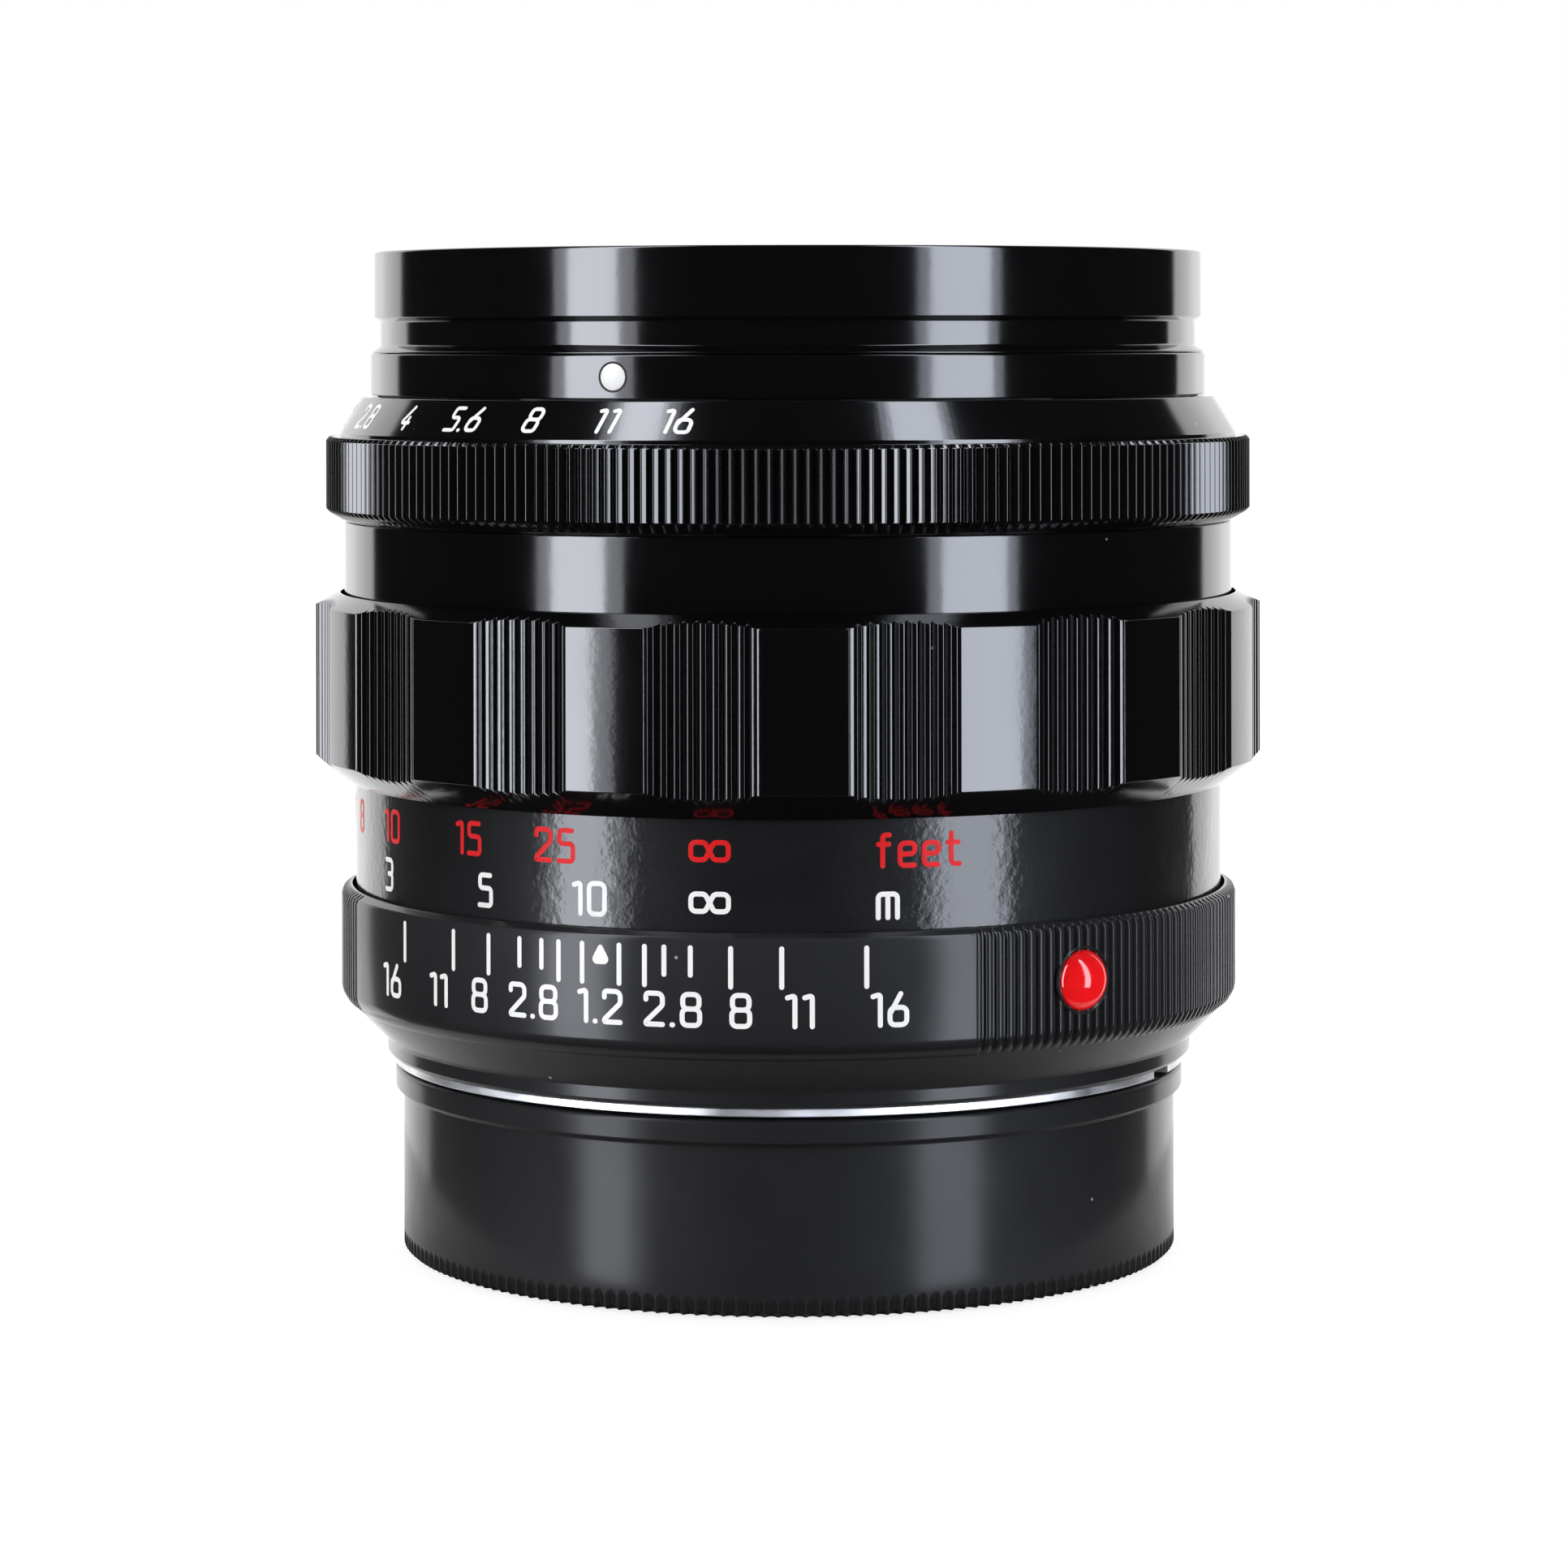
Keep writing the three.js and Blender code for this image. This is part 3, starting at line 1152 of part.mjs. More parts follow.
function headGroup() {
  const group = new THREE.Group();
  piece(group, "head_barrel", headBarrel(), looks.blackEnamel);
  piece(group, "lens_tube", lensTube(), looks.anodised);
  piece(group, "head_helicoid", headHelicoid(), looks.brass);
  piece(group, "aperture_index_ring", apertureIndexRing(), looks.blackEnamel);
  piece(group, "index_dot", indexDot(), looks.whitePaint);
  piece(group, "filter_ring", filterRing(), looks.blackEnamel);
  piece(group, "front_bezel", frontBezel(), looks.anodised);
  piece(group, "front_cell", frontCell(), looks.anodised);
  piece(group, "front_spacer", frontSpacer(), looks.anodised);
  piece(group, "rear_cell", rearCell(), looks.anodised);
  piece(group, "doublet_retainer", doubletRetainer(), looks.anodised);
  piece(group, "rear_retainer", rearRetainer(), looks.anodised);
  piece(group, "rangefinder_cam", rangefinderCam(), looks.brass);
  piece(group, "iris_base", irisBase(), looks.anodised);
  piece(group, "click_ball", clickBall(), looks.steel);
  piece(group, "click_spring", clickSpring(), looks.steel);
  glassElements(group);
  group.add(apertureGroup());
  irisBlades(group);
  return group;
}

function apertureGroup() {
  const group = new THREE.Group();
  piece(group, "aperture_ring", apertureRing(), looks.blackEnamel);
  piece(group, "iris_cam_ring", irisCamRing(), looks.anodised);
  piece(group, "link_pin", linkPin(), looks.steel);
  return group;
}

function capGroup() {
  const group = new THREE.Group();
  piece(group, "rear_cap", rearCap(), looks.capPlastic);
  return group;
}

const lens = new THREE.Group();
lens.add(mountGroup(), focusGroup(), headGroup(), capGroup());

export default lens;
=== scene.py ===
# Looks of a fast prime lens standing on its rear cap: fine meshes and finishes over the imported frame.
# Outlines are written in millimetres, as [radius, height] pairs, and become metres when a mesh is made.
# Azimuths are in degrees from -Y, where the focus index lies, turning towards +X.
import json
import math

import bpy
import numpy as np
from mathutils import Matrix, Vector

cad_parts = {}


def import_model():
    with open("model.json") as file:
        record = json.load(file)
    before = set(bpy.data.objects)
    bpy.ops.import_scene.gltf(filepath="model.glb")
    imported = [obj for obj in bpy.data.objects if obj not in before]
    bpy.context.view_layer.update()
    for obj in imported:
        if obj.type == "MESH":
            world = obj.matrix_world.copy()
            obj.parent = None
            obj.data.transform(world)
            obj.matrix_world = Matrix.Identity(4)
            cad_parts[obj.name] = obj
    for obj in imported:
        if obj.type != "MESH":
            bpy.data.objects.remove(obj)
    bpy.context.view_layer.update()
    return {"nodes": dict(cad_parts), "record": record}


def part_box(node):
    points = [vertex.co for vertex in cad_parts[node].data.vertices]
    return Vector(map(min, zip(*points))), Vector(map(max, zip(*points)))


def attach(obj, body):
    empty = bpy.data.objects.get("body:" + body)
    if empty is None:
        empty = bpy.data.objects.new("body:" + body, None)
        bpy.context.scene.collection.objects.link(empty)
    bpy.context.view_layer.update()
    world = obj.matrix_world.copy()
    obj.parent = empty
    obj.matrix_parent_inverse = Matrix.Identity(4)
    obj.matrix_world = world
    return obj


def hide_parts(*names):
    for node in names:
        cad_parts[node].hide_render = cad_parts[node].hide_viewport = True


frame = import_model()

MM = 0.001
TURN = 360.0


def polar(radius, azimuth, height):
    """A point at a radius from the axis, in the radius's unit."""
    angle = math.radians(azimuth)
    return (radius * math.sin(angle), -radius * math.cos(angle), height)


def span(node):
    """Foot, top and reach of a CAD node, in millimetres."""
    low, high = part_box(node)
    reach = max(abs(low.x), abs(low.y), high.x, high.y)
    return low.z / MM, high.z / MM, reach / MM


# The photograph's camera, fitted to the rings: distances in millimetres, angles in degrees
PHOTO_PIXELS = 1932
FOCAL_PIXELS = 5689.5
HORIZON_PIXEL = 412.9
AXIS_PIXEL = 970.5
EYE_DISTANCE = 299.72
EYE_HEIGHT = 58.56
EYE_AZIMUTH = 22.7
EYE_ROLL = 0.0016  # radians
SENSOR = 36.0

# How the lens is set in the photograph, and the laws of its scales
FOCUS_REST = 13.1
FOCUS_LEAD = 5.98
FOCAL_LENGTH = 50.5
DEPTH_PER_STOP_NUMBER = 1.99
APERTURE_TRAVEL = 92.2
APERTURE_OPENING = 83.0
FIRST_STOP = 9.5
STOP_PITCH = 9.2
STOP_GROWTH = 0.475

# Rear cap. The groove in its base has two radii and a depth, a lug has its foot, top and inner radius.
CAP_RADIUS = 24.88
CAP_RIM_FOOT = 10.3
CAP_BORE = 23.4
CAP_FLOOR = 1.5
CAP_CENTRE_HOLE = 0.3
CAP_SCOOP_COUNT = 187
CAP_SCOOP_DEPTH = 0.36
CAP_SCOOP_SHARE = 0.9
CAP_SCOOP_FOOT = 0.3
CAP_SCOOP_SHOULDER = 0.7
CAP_SCOOP_TOP = 1.25
CAP_SCOOP_MIDDLE_SHARE = 0.8
CAP_SCOOP_SHARES = (0.0, 0.05, 0.08, 0.14, 0.22, 0.32, 0.42, 0.5, 0.58, 0.68, 0.78, 0.86, 0.92, 0.95)
CAP_FOOT_BEVEL = 0.35
CAP_WALL_FOOT = 1.31
CAP_RIM_SLOPE = 0.14
CAP_BASE_GROOVE = (20.6, 21.2, 0.15)
CAP_LUG = (8.05, 9.25, 20.64)

# Bayonet flange. The collar has its bore and radius, a lug its top and radius.
FLANGE_FACE = 12.1
FLANGE_EDGE_TOP = 12.6
FLANGE_COLLAR = (18.5, 20.2)
FLANGE_LUG = (7.8, 21.9)
LUG_COUNT = 4
LUG_SPAN = 34.0
FLANGE_SEAT_GAP = 0.1
NOTCH_AZIMUTH = 89.0
NOTCH_WIDTH = 2.6
NOTCH_DEPTH = 1.1

# Mount barrel. An ease is a point's depth in from the face, and how far it lies below the shoulder or top.
NECK_RADIUS = 25.92
NECK_FOOT_RADIUS = 25.72
NECK_FOOT_BEVEL = 0.22
NECK_WALL = 1.0
NECK_TOP = 13.65
BARREL_CONE_RADIUS = 28.03
BARREL_CONE_TOP = 15.8
BARREL_BEVEL_RADIUS = 28.53
BARREL_BEVEL_TOP = 16.2
BARREL_SHOULDER_TOP = 17.0
BARREL_SHOULDER_EASE = (0.05, 0.3)
BARREL_TOP_EASE = (0.12, 0.26)
BARREL_TOP_FALL = 0.55
BARREL_RADIUS = 28.86
BARREL_TOP_RADIUS = 28.3
BARREL_POCKET = 2.9
BARREL_WEB_BORE = 21.5
BARREL_WEB_FOOT = 13.65
SLEEVE_GAP = 0.25
BARREL_RIB_COUNT = 187
BARREL_RIB_DEPTH = 0.26
PANEL_FROM = -47.0
PANEL_TO = 45.4
PANEL_STEP = 0.5
BEAD_RADIUS = 1.8
BEAD_PROUD = 1.1
BEAD_AZIMUTH = 60.5
BEAD_HEIGHT = 19.85
BEAD_SUNK = 0.4

# Distance sleeve, and the focus ring: hollows for the fingers, each with a row of flutes. A flute or rib has
# facets of a width and a slope each, from the middle of its crest outwards, and then a straight flank.
SLEEVE_BORE = 27.2
SLEEVE_ROUND = 0.1
SCALLOP_COUNT = 16
SCALLOP_SPAN = 13.2
SCALLOP_DEPTH = 0.55
FLUTES = 9
FLUTE_FACETS = ((0.1, 2.0), (0.03, 8.0), (0.03, 17.0), (0.012, 30.0), (0.01, 50.0))
FLUTE_FLANK_ANGLE = 56.0
FLUTE_VALLEY = 0.005
EDGE_SLOPE = 1.2
FOCUS_FOOT_RADIUS = 28.0
FOCUS_FOOT_FLAT = 0.2
FOCUS_SHOULDER = 31.7
FOCUS_TOP_RADIUS = 29.05
FOCUS_TOP_CHAMFER = 0.74
FOCUS_BORE = 28.91
FOCUS_LOWER_BORE = 28.07
FOCUS_STEP = 3.95
LAND_FACES = 12
SCALLOP_EDGE = 0.03

# Head barrel and aperture ring
HEAD_BORE = 26.4
HEAD_SKIRT_BORE = 28.1
HEAD_WEB = 3.2
APERTURE_BORE = 26.55
APERTURE_FOOT_RADIUS = 28.86
BAND_BEVEL = (0.2, 0.22)
BAND_FOOT = 47.3
BAND_TOP = 52.1
BAND_RADIUS = 29.83
BAND_RIB_COUNT = 245
RIB_FACETS = ((0.02, 5.0), (0.02, 16.0), (0.02, 30.0))
RIB_FLANK_ANGLE = 47.0
RIB_EDGE = 0.002
BAND_TOP_SLOPE = 0.02
CONE_FOOT_RADIUS = 28.95
CONE_TOP_RADIUS = 27.55
CONE_FOOT = 52.35

# The bead's seat and the index dot, as [radius, proud] pairs
BEAD_SEAT = ((1.83, -0.3), (2.08, -0.3), (2.08, -0.05), (1.98, 0.03), (1.83, -0.08))
INDEX_DOT = ((0, 0.05), (0.74, 0.045), (0.8, 0.0), (0.8, -0.25), (0, -0.25))
# A thin dark ring round the index dot: painted shade in place of the shadow in the groove about the dot
INDEX_DOT_GROOVE_SHADE = ((0.81, 0.012), (0.81, -0.1), (0.93, -0.1), (0.93, 0.012))

# Filter ring
GROOVE_RADIUS = 26.37
GROOVE_FOOT = 57.96
GROOVE_TOP = 59.41
RIM_FOOT = 59.71
RIM_RADIUS = 26.76
FILTER_BORE = 24.5
THREAD_PITCH = 0.75
THREAD_TURNS = 5
THREAD_START = 0.5
THREAD_DEPTH = 0.35
FILTER_LIP = 0.3

# Front bezel: a stepped baffle over the seat of the front glass. The skirt under it ends at two heights over
# the piece's foot, inside and outside.
BAFFLE_STEPS = 7
BAFFLE_TREAD = 0.12
BAFFLE_LIP = 0.5
BAFFLE_START = 0.15
BAFFLE_FOOT = 55.5
BAFFLE_FOOT_RADIUS = 21.2
BAFFLE_LAST_DROP = 0.1
BEZEL_SKIRT_ENDS = (0.3, 0.6)
BEZEL_SEAT = 55.75
BEZEL_BORE = 21.85

# Glass. A lens's face that ends within SAME_RADIUS of its rim needs no flat. A facet within GLASS_RIM of it
# whose normal rises by less than UPRIGHT belongs to the ground edge.
SAME_RADIUS = 0.01
GLASS_RIM = 0.05
UPRIGHT = 0.2

# Iris blades: radii of a blade's edges, its pivot and its driven pin, as the open iris has them
BLADE_COUNT = 10
BLADE_INNER = 14.2
BLADE_OUTER = 20.9
BLADE_PIVOT = 22.3
BLADE_PIN = 23.6
BLADE_PIN_LEAD = 17.3
BLADE_TAB = 0.75
BLADE_SPAN = 96.0
BLADE_FOOT = 38.7
BLADE_PITCH = 0.24
BLADE_THICKNESS = 0.12
BLADE_TAB_STEPS = 10
BLADE_END_STEPS = 12
IRIS_CLOSED = 1.4

# Lettering, with the middle heights of its rows
FOOT_IN_METRES = 0.3048
METRE_ROW = 25.1
FOOT_ROW = 28.15
INFINITY_HEIGHT = 2.35
DEPTH_ROW = 18.9
DEPTH_LINE_FOOT = 20.15
SHORT_DEPTH_LINE_FOOT = 20.8
DEPTH_LINE_GAP = 0.7
POINTER_HEIGHT = 21.98
APERTURE_ROW = 53.5
APERTURE_LETTER_HEIGHT = 1.78
APERTURE_SLANT = 0.28
APERTURE_STROKE = 0.25
STROKE = 0.3
LETTER_HEIGHT = 2.12
PAINT_PROUD = 0.012
PAINT_SUNK = 0.03
PAINT_CROWN = 0.012
PAINT_STEP = 0.0015
STROKE_END_STEPS = 5
LEAST_HALF_WIDTH = 0.004
SAME_POINT = 1e-6

# Studio, with lengths in metres. Levels are those in front and behind, and the one gives way to the other
# over a turn: two cosines of the angle from straight behind the lens.
BACKDROP_LEVELS = (0.02, 1.9)
BACKDROP_TURN = (0.67, 0.7)
MIDDLE_LEVELS = (1.0, 0.7)
MIDDLE_TURN = (0.87, 0.97)
AMBIENT_LEVELS = (0.5, 1.5)
AMBIENT_TURN = (-0.2, 0.8)
FLOOR_RADIUS = 6.0
FLOOR_HEIGHT = -0.0001
NEAR_FLOOR_RADIUS = 0.045
NEAR_FLOOR_OFFSET = 0.014
NEAR_FLOOR_HEIGHT = -0.00005
FLOOR_CORNERS = 96

# Fineness
FACES = 512
SMALL_FACES = 64
GLASS_FACES = 192
CORNER_STEPS = 5
SHARP_ANGLE = 40
LEAST_EDGE = 1e-5
STRAIGHT = 0.02
LARGEST_ARC_SHARE = 0.48
SUPPORT = 0.02
SUPPORT_SHARE = 0.018
STEP_AZIMUTH = 0.01


def fillet(points, radii, steps=CORNER_STEPS, closed=True, hold=SUPPORT):
    """The polyline with each corner turned into an arc; a radius of 0 leaves the corner as it is.

    With a hold, a further point on either side of the arc keeps the shading of the flat faces flat.
    """
    out = []
    count = len(points)
    arc_points = steps + 3 if hold else steps + 1
    for i, point in enumerate(points):
        radius = radii[i] if isinstance(radii, (list, tuple)) else radii
        if radius <= 0 or (not closed and i in (0, count - 1)):
            out.append(tuple(point))
            continue
        here = np.array(point, float)
        before = np.array(points[i - 1], float) - here
        after = np.array(points[(i + 1) % count], float) - here
        length_before, length_after = np.linalg.norm(before), np.linalg.norm(after)
        before, after = before / max(length_before, LEAST_EDGE), after / max(length_after, LEAST_EDGE)
        half = math.acos(max(-1.0, min(1.0, float(before @ after)))) / 2
        straight = not STRAIGHT <= half <= math.pi / 2 - STRAIGHT
        if straight or min(length_before, length_after) < LEAST_EDGE:
            out.extend([tuple(point)] * arc_points)
            continue
        longest = LARGEST_ARC_SHARE * min(length_before, length_after)
        reach = min(radius / math.tan(half), longest)
        radius = reach * math.tan(half)
        middle = (before + after) / np.linalg.norm(before + after)
        centre = here + middle * (radius / math.sin(half))
        start = here + before * reach - centre
        end = here + after * reach - centre
        turn = math.copysign(math.pi - 2 * half, start[0] * end[1] - start[1] * end[0])
        if hold:
            out.append(tuple(here + before * (reach + min(hold, SUPPORT_SHARE * length_before))))
        for step in range(steps + 1):
            angle = turn * step / steps
            out.append((
                centre[0] + start[0] * math.cos(angle) - start[1] * math.sin(angle),
                centre[1] + start[0] * math.sin(angle) + start[1] * math.cos(angle),
            ))
        if hold:
            out.append(tuple(here + after * (reach + min(hold, SUPPORT_SHARE * length_after))))
    return out


def area(points):
    """Area inside a closed outline; it is negative when the outline runs clockwise."""
    return sum(a[0] * b[1] - b[0] * a[1] for a, b in zip(points, points[1:] + points[:1])) / 2


def mesh_object(name, vertices, faces, material):
    """A mesh object from vertices in millimetres."""
    mesh = bpy.data.meshes.new(name)
    mesh.from_pydata([tuple(MM * c for c in v) for v in vertices], [], faces)
    mesh.validate()
    mesh.shade_smooth()
    mesh.set_sharp_from_angle(angle=math.radians(SHARP_ANGLE))
    mesh.materials.append(material)
    made = bpy.data.objects.new(name, mesh)
    bpy.context.scene.collection.objects.link(made)
    return made


def swept(name, column, azimuths, material):
    """A ring whose section at each azimuth is column(azimuth), a closed outline of always as many points."""
    vertices = [polar(radius, azimuth, height) for azimuth in azimuths for radius, height in column(azimuth)]
    rows = len(vertices) // len(azimuths)
    faces = []
    for i in range(len(azimuths)):
        here, there = i * rows, (i + 1) % len(azimuths) * rows
        for j in range(rows):
            k = (j + 1) % rows
            faces.append((here + j, there + j, there + k, here + k))
    return mesh_object(name, vertices, faces, material)


def evenly(count=FACES):
    return [TURN * i / count for i in range(count)]


def turned(name, outline, material, radii=0.0, faces=FACES):
    """A solid of revolution that has a bore; the outline may be given either way round."""
    if area(outline) < 0:
        outline = outline[::-1]
        radii = radii[::-1] if isinstance(radii, list) else radii
    section = fillet(outline, radii)
    return swept(name, lambda azimuth: section, evenly(faces), material)


def disc(name, outline, material, radii=0.0, faces=FACES):
    """A solid of revolution without a bore: its outline runs from the top of the axis to its foot."""
    section = fillet(outline, radii, closed=False)[1:-1]
    vertices = [(0, 0, outline[0][1]), (0, 0, outline[-1][1])]
    vertices += [polar(radius, azimuth, height) for azimuth in evenly(faces) for radius, height in section]
    rows = len(section)
    made = []
    for i in range(faces):
        here, there = 2 + i * rows, 2 + (i + 1) % faces * rows
        made.append((0, here, there))
        made.append((1, there + rows - 1, here + rows - 1))
        for j in range(rows - 1):
            made.append((here + j, here + j + 1, there + j + 1, there + j))
    return mesh_object(name, vertices, made, material)


def carry(made, body, slot, *nodes):
    """Seats a piece on the body it rides on and hides the nodes it stands for; slot, the name of its finish,
    is not used.
    """
    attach(made, body)
    if nodes:
        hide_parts(*nodes)
    return made


def turned_ring(node, outline, finish, body, slot, radii=0.0):
    """Puts a turned ring in a node's place."""
    carry(turned(f"{node}_fine", outline, finish, radii), body, slot, node)


def swept_ring(node, column, azimuths, finish, body, slot):
    """Puts a swept ring in a node's place."""
    carry(swept(f"{node}_fine", column, sorted(azimuths), finish), body, slot, node)


# A rib of the mount barrel's knurl: phases at which its crest, its falling flank and its valley end
CREST_END = 0.42
FALL_END = 0.66
VALLEY_END = 0.76
CREST_DROP = 0.03
RIB_SHARES = (0.0, 0.08, 0.2, 0.34, CREST_END, 0.5, FALL_END, 0.71, VALLEY_END, 0.92)


def rib_drop(phase, depth):
    """How far below the crest a straight-knurled band lies at a phase from 0 to 1 through one rib."""
    phase = phase % 1.0
    if phase <= CREST_END:
        return CREST_DROP * (2 * phase / CREST_END - 1) ** 2
    if phase <= FALL_END:
        return CREST_DROP + (depth - CREST_DROP) * (phase - CREST_END) / (FALL_END - CREST_END)
    if phase <= VALLEY_END:
        return depth
    return depth + (CREST_DROP - depth) * (phase - VALLEY_END) / (1 - VALLEY_END)


def facet_drop(across, half_pitch, facets, flank_angle):
    """How far below its crest a rib lies at a distance from its middle."""
    left = min(abs(across), half_pitch)
    drop = 0.0
    for width, angle in facets:
        drop += min(left, width) * math.tan(math.radians(angle))
        left = max(0.0, left - width)
    return drop + left * math.tan(math.radians(flank_angle))


def facet_ends(facets):
    """Distances from a rib's middle at which its facets end."""
    return [sum(width for width, _ in facets[:i + 1]) for i in range(len(facets))]


def sag(curve, out):
    """How far a ball of a radius falls away from its top at a distance from the axis."""
    return curve - math.sqrt(curve * curve - out * out)


def slab_faces(count):
    """Faces of a slab whose vertices are count round its top and then count round its foot."""
    sides = [(i, count + i, count + (i + 1) % count, (i + 1) % count) for i in range(count)]
    return [tuple(range(count)), tuple(range(2 * count - 1, count - 1, -1)), *sides]


# Materials


class Nodes:
    """A tree of shader nodes under construction."""

    def __init__(self, tree):
        self.tree = tree

    def node(self, kind, **settings):
        made = self.tree.nodes.new(kind)
        for key, value in settings.items():
            setattr(made, key, value)
        return made

    def link(self, out, into):
        self.tree.links.new(out, into)

    @staticmethod
    def fill(made, **values):
        """Sets a node's inputs; an input's name is given in small letters with _ for a space."""
        for key, value in values.items():
            made.inputs[key.replace("_", " ").title().replace("Ior", "IOR")].default_value = value

    def value(self, kind, *inputs, out=0, **settings):
        """An output of a new node; its first inputs are given as outputs to link or as plain values."""
        made = self.node(kind, **settings)
        for i, given in enumerate(inputs):
            if hasattr(given, "is_output"):
                self.link(given, made.inputs[i])
            else:
                made.inputs[i].default_value = given
        return made.outputs[out]

    def ramp(self, value, low, high, from_low=0.0, from_high=1.0, **settings):
        made = self.node("ShaderNodeMapRange", clamp=True, **settings)
        self.link(value, made.inputs["Value"])
        self.fill(made, from_min=from_low, from_max=from_high, to_min=low, to_max=high)
        return made.outputs["Result"]


class Finish(Nodes):
    """A procedural material, with the object's own coordinates as its texture space."""

    def __init__(self, name, color, roughness, metallic=0.0, ior=1.5):
        self.material = bpy.data.materials.new(name)
        self.material.use_nodes = True
        super().__init__(self.material.node_tree)
        self.shader = self.tree.nodes["Principled BSDF"]
        self.fill(self.shader, base_color=(*color, 1), roughness=roughness, metallic=metallic, ior=ior)
        self.material.diffuse_color = (*color, 1)
        self.coords = self.node("ShaderNodeTexCoord").outputs["Object"]

    def noise(self, scale, detail=3.0, stretch=None):
        made = self.node("ShaderNodeTexNoise")
        self.fill(made, scale=scale, detail=detail)
        coords = self.coords
        if stretch:
            mapping = self.node("ShaderNodeMapping")
            self.fill(mapping, scale=stretch)
            self.link(coords, mapping.inputs["Vector"])
            coords = mapping.outputs["Vector"]
        self.link(coords, made.inputs["Vector"])
        return made.outputs["Fac"]

    def vary_roughness(self, scale, low, high):
        self.link(self.ramp(self.noise(scale), low, high, 0.3, 0.7), self.shader.inputs["Roughness"])

    def coat(self, ior, roughness, base_gloss):
        """A glossy skin over a duller base."""
        self.fill(self.shader, coat_weight=1.0, coat_ior=ior, coat_roughness=roughness)
        self.fill(self.shader, specular_ior_level=base_gloss)

    def bump(self, *layers):
        """Layers of (height output, depth in millimetres)."""
        normal = None
        for height, depth in layers:
            made = self.node("ShaderNodeBump")
            self.fill(made, strength=1.0, distance=depth * MM)
            self.link(height, made.inputs["Height"])
            if normal:
                self.link(normal, made.inputs["Normal"])
            normal = made.outputs["Normal"]
        self.link(normal, self.shader.inputs["Normal"])
        self.link(normal, self.shader.inputs["Coat Normal"])

    def color_mix(self, amount, first, second):
        made = self.node("ShaderNodeMix", data_type="RGBA")
        self.link(amount, made.inputs["Factor"])
        self.fill(made, a=(*first, 1), b=(*second, 1))
        self.link(made.outputs["Result"], self.shader.inputs["Base Color"])

    def dust(self, scale, share, size):
        """Amount, from 0 to 1, of small bright specks: one in each of a share of a grain's cells."""
        cells = self.node("ShaderNodeTexVoronoi")
        self.fill(cells, scale=scale)
        self.link(self.coords, cells.inputs["Vector"])
        spot = self.ramp(cells.outputs["Distance"], 1.0, 0.0, size * 0.6, size)
        chosen = self.value("ShaderNodeSeparateColor", cells.outputs["Color"])
        picked = self.ramp(chosen, 0.0, 1.0, 1 - share, 1 - share + 0.01)
        return self.value("ShaderNodeMath", spot, picked, operation="MULTIPLY")


def enamel(name, color, roughness, orange_peel, dust_share, skin=None):
    """Black paint with a fine orange peel, specks of dust and, if a skin is given, a glossy top layer."""
    made = Finish(name, color, roughness)
    made.vary_roughness(180.0, roughness * 0.85, roughness * 1.2)
    made.bump((made.noise(2100.0, 2.0), orange_peel), (made.noise(380.0, 1.0), orange_peel * 1.5))
    made.color_mix(made.dust(420.0, dust_share, 0.05), color, (0.35, 0.36, 0.38))
    if skin:
        made.coat(*skin)
    return made.material


black_enamel = enamel("black_enamel", (0.0023, 0.0023, 0.0026), 0.09, 0.0012, 0.1)
ring_enamel = enamel("ring_enamel", (0.0023, 0.0023, 0.0026), 0.1, 0.004, 0.1)
sleeve_enamel = enamel("sleeve_enamel", (0.003, 0.003, 0.0033), 0.55, 0.016, 0.14, (1.36, 0.12, 0.12))
satin_black = enamel("satin_black", (0.0055, 0.0055, 0.0058), 0.6, 0.002, 0.12, (1.24, 0.16, 0.15))
cap_plastic = enamel("cap_plastic", (0.005, 0.005, 0.0052), 0.6, 0.002, 0.2, (1.183, 0.17, 0.15))


def metal(name, color, roughness, grain=(1.0, 1.0, 30.0)):
    made = Finish(name, color, roughness, metallic=1.0)
    made.vary_roughness(300.0, roughness * 0.7, roughness * 1.4)
    made.bump((made.noise(900.0, 2.0, grain), 0.0008))
    return made.material


chrome = metal("chrome", (0.82, 0.82, 0.83), 0.42)
brass = metal("brass", (0.6, 0.43, 0.19), 0.3)
steel = metal("steel", (0.5, 0.5, 0.52), 0.3)
blade_steel = metal("blade", (0.05, 0.05, 0.055), 0.42, (1.0, 1.0, 1.0))


def matt(name, color, roughness):
    made = Finish(name, color, roughness)
    made.vary_roughness(500.0, roughness * 0.85, min(1.0, roughness * 1.15))
    made.bump((made.noise(5000.0, 2.0), 0.003))
    return made.material


anodised = matt("anodised", (0.01, 0.01, 0.011), 0.5)
glass_edge = matt("glass_edge", (0.006, 0.006, 0.006), 0.6)


def paint(name, color, roughness, gloss):
    made = Finish(name, color, roughness)
    made.bump((made.noise(3000.0, 2.0), 0.003))
    made.vary_roughness(900.0, roughness * 0.8, roughness * 1.2)
    made.fill(made.shader, specular_ior_level=gloss)
    return made.material


white_paint = paint("white_paint", (0.9, 0.9, 0.89), 0.45, 0.4)
red_paint = paint("red_paint", (0.7, 0.007, 0.01), 0.4, 0.15)
red_bead = paint("red_bead", (0.9, 0.008, 0.011), 0.08, 0.5)
# Near-black matt for the ring round the index dot, painted shade for the shadow in its groove
painted_groove_shade = matt("painted_groove_shade", (0.002, 0.002, 0.002), 0.8)


def optical(name, tint, coat):
    """Clear glass with the faint colour that its coating reflects."""
    made = Finish(name, tint, 0.0, ior=1.6)
    made.fill(made.shader, transmission_weight=1.0, specular_tint=(*coat, 1))
    made.bump((made.noise(60.0, 1.0), 0.0002))
    return made.material


amber_glass = optical("amber_glass", (0.99, 0.99, 0.98), (0.2, 0.12, 0.05))
violet_glass = optical("violet_glass", (0.98, 0.98, 0.99), (0.09, 0.06, 0.2))
green_glass = optical("green_glass", (0.98, 0.99, 0.98), (0.05, 0.14, 0.08))


# Rear cap and bayonet flange


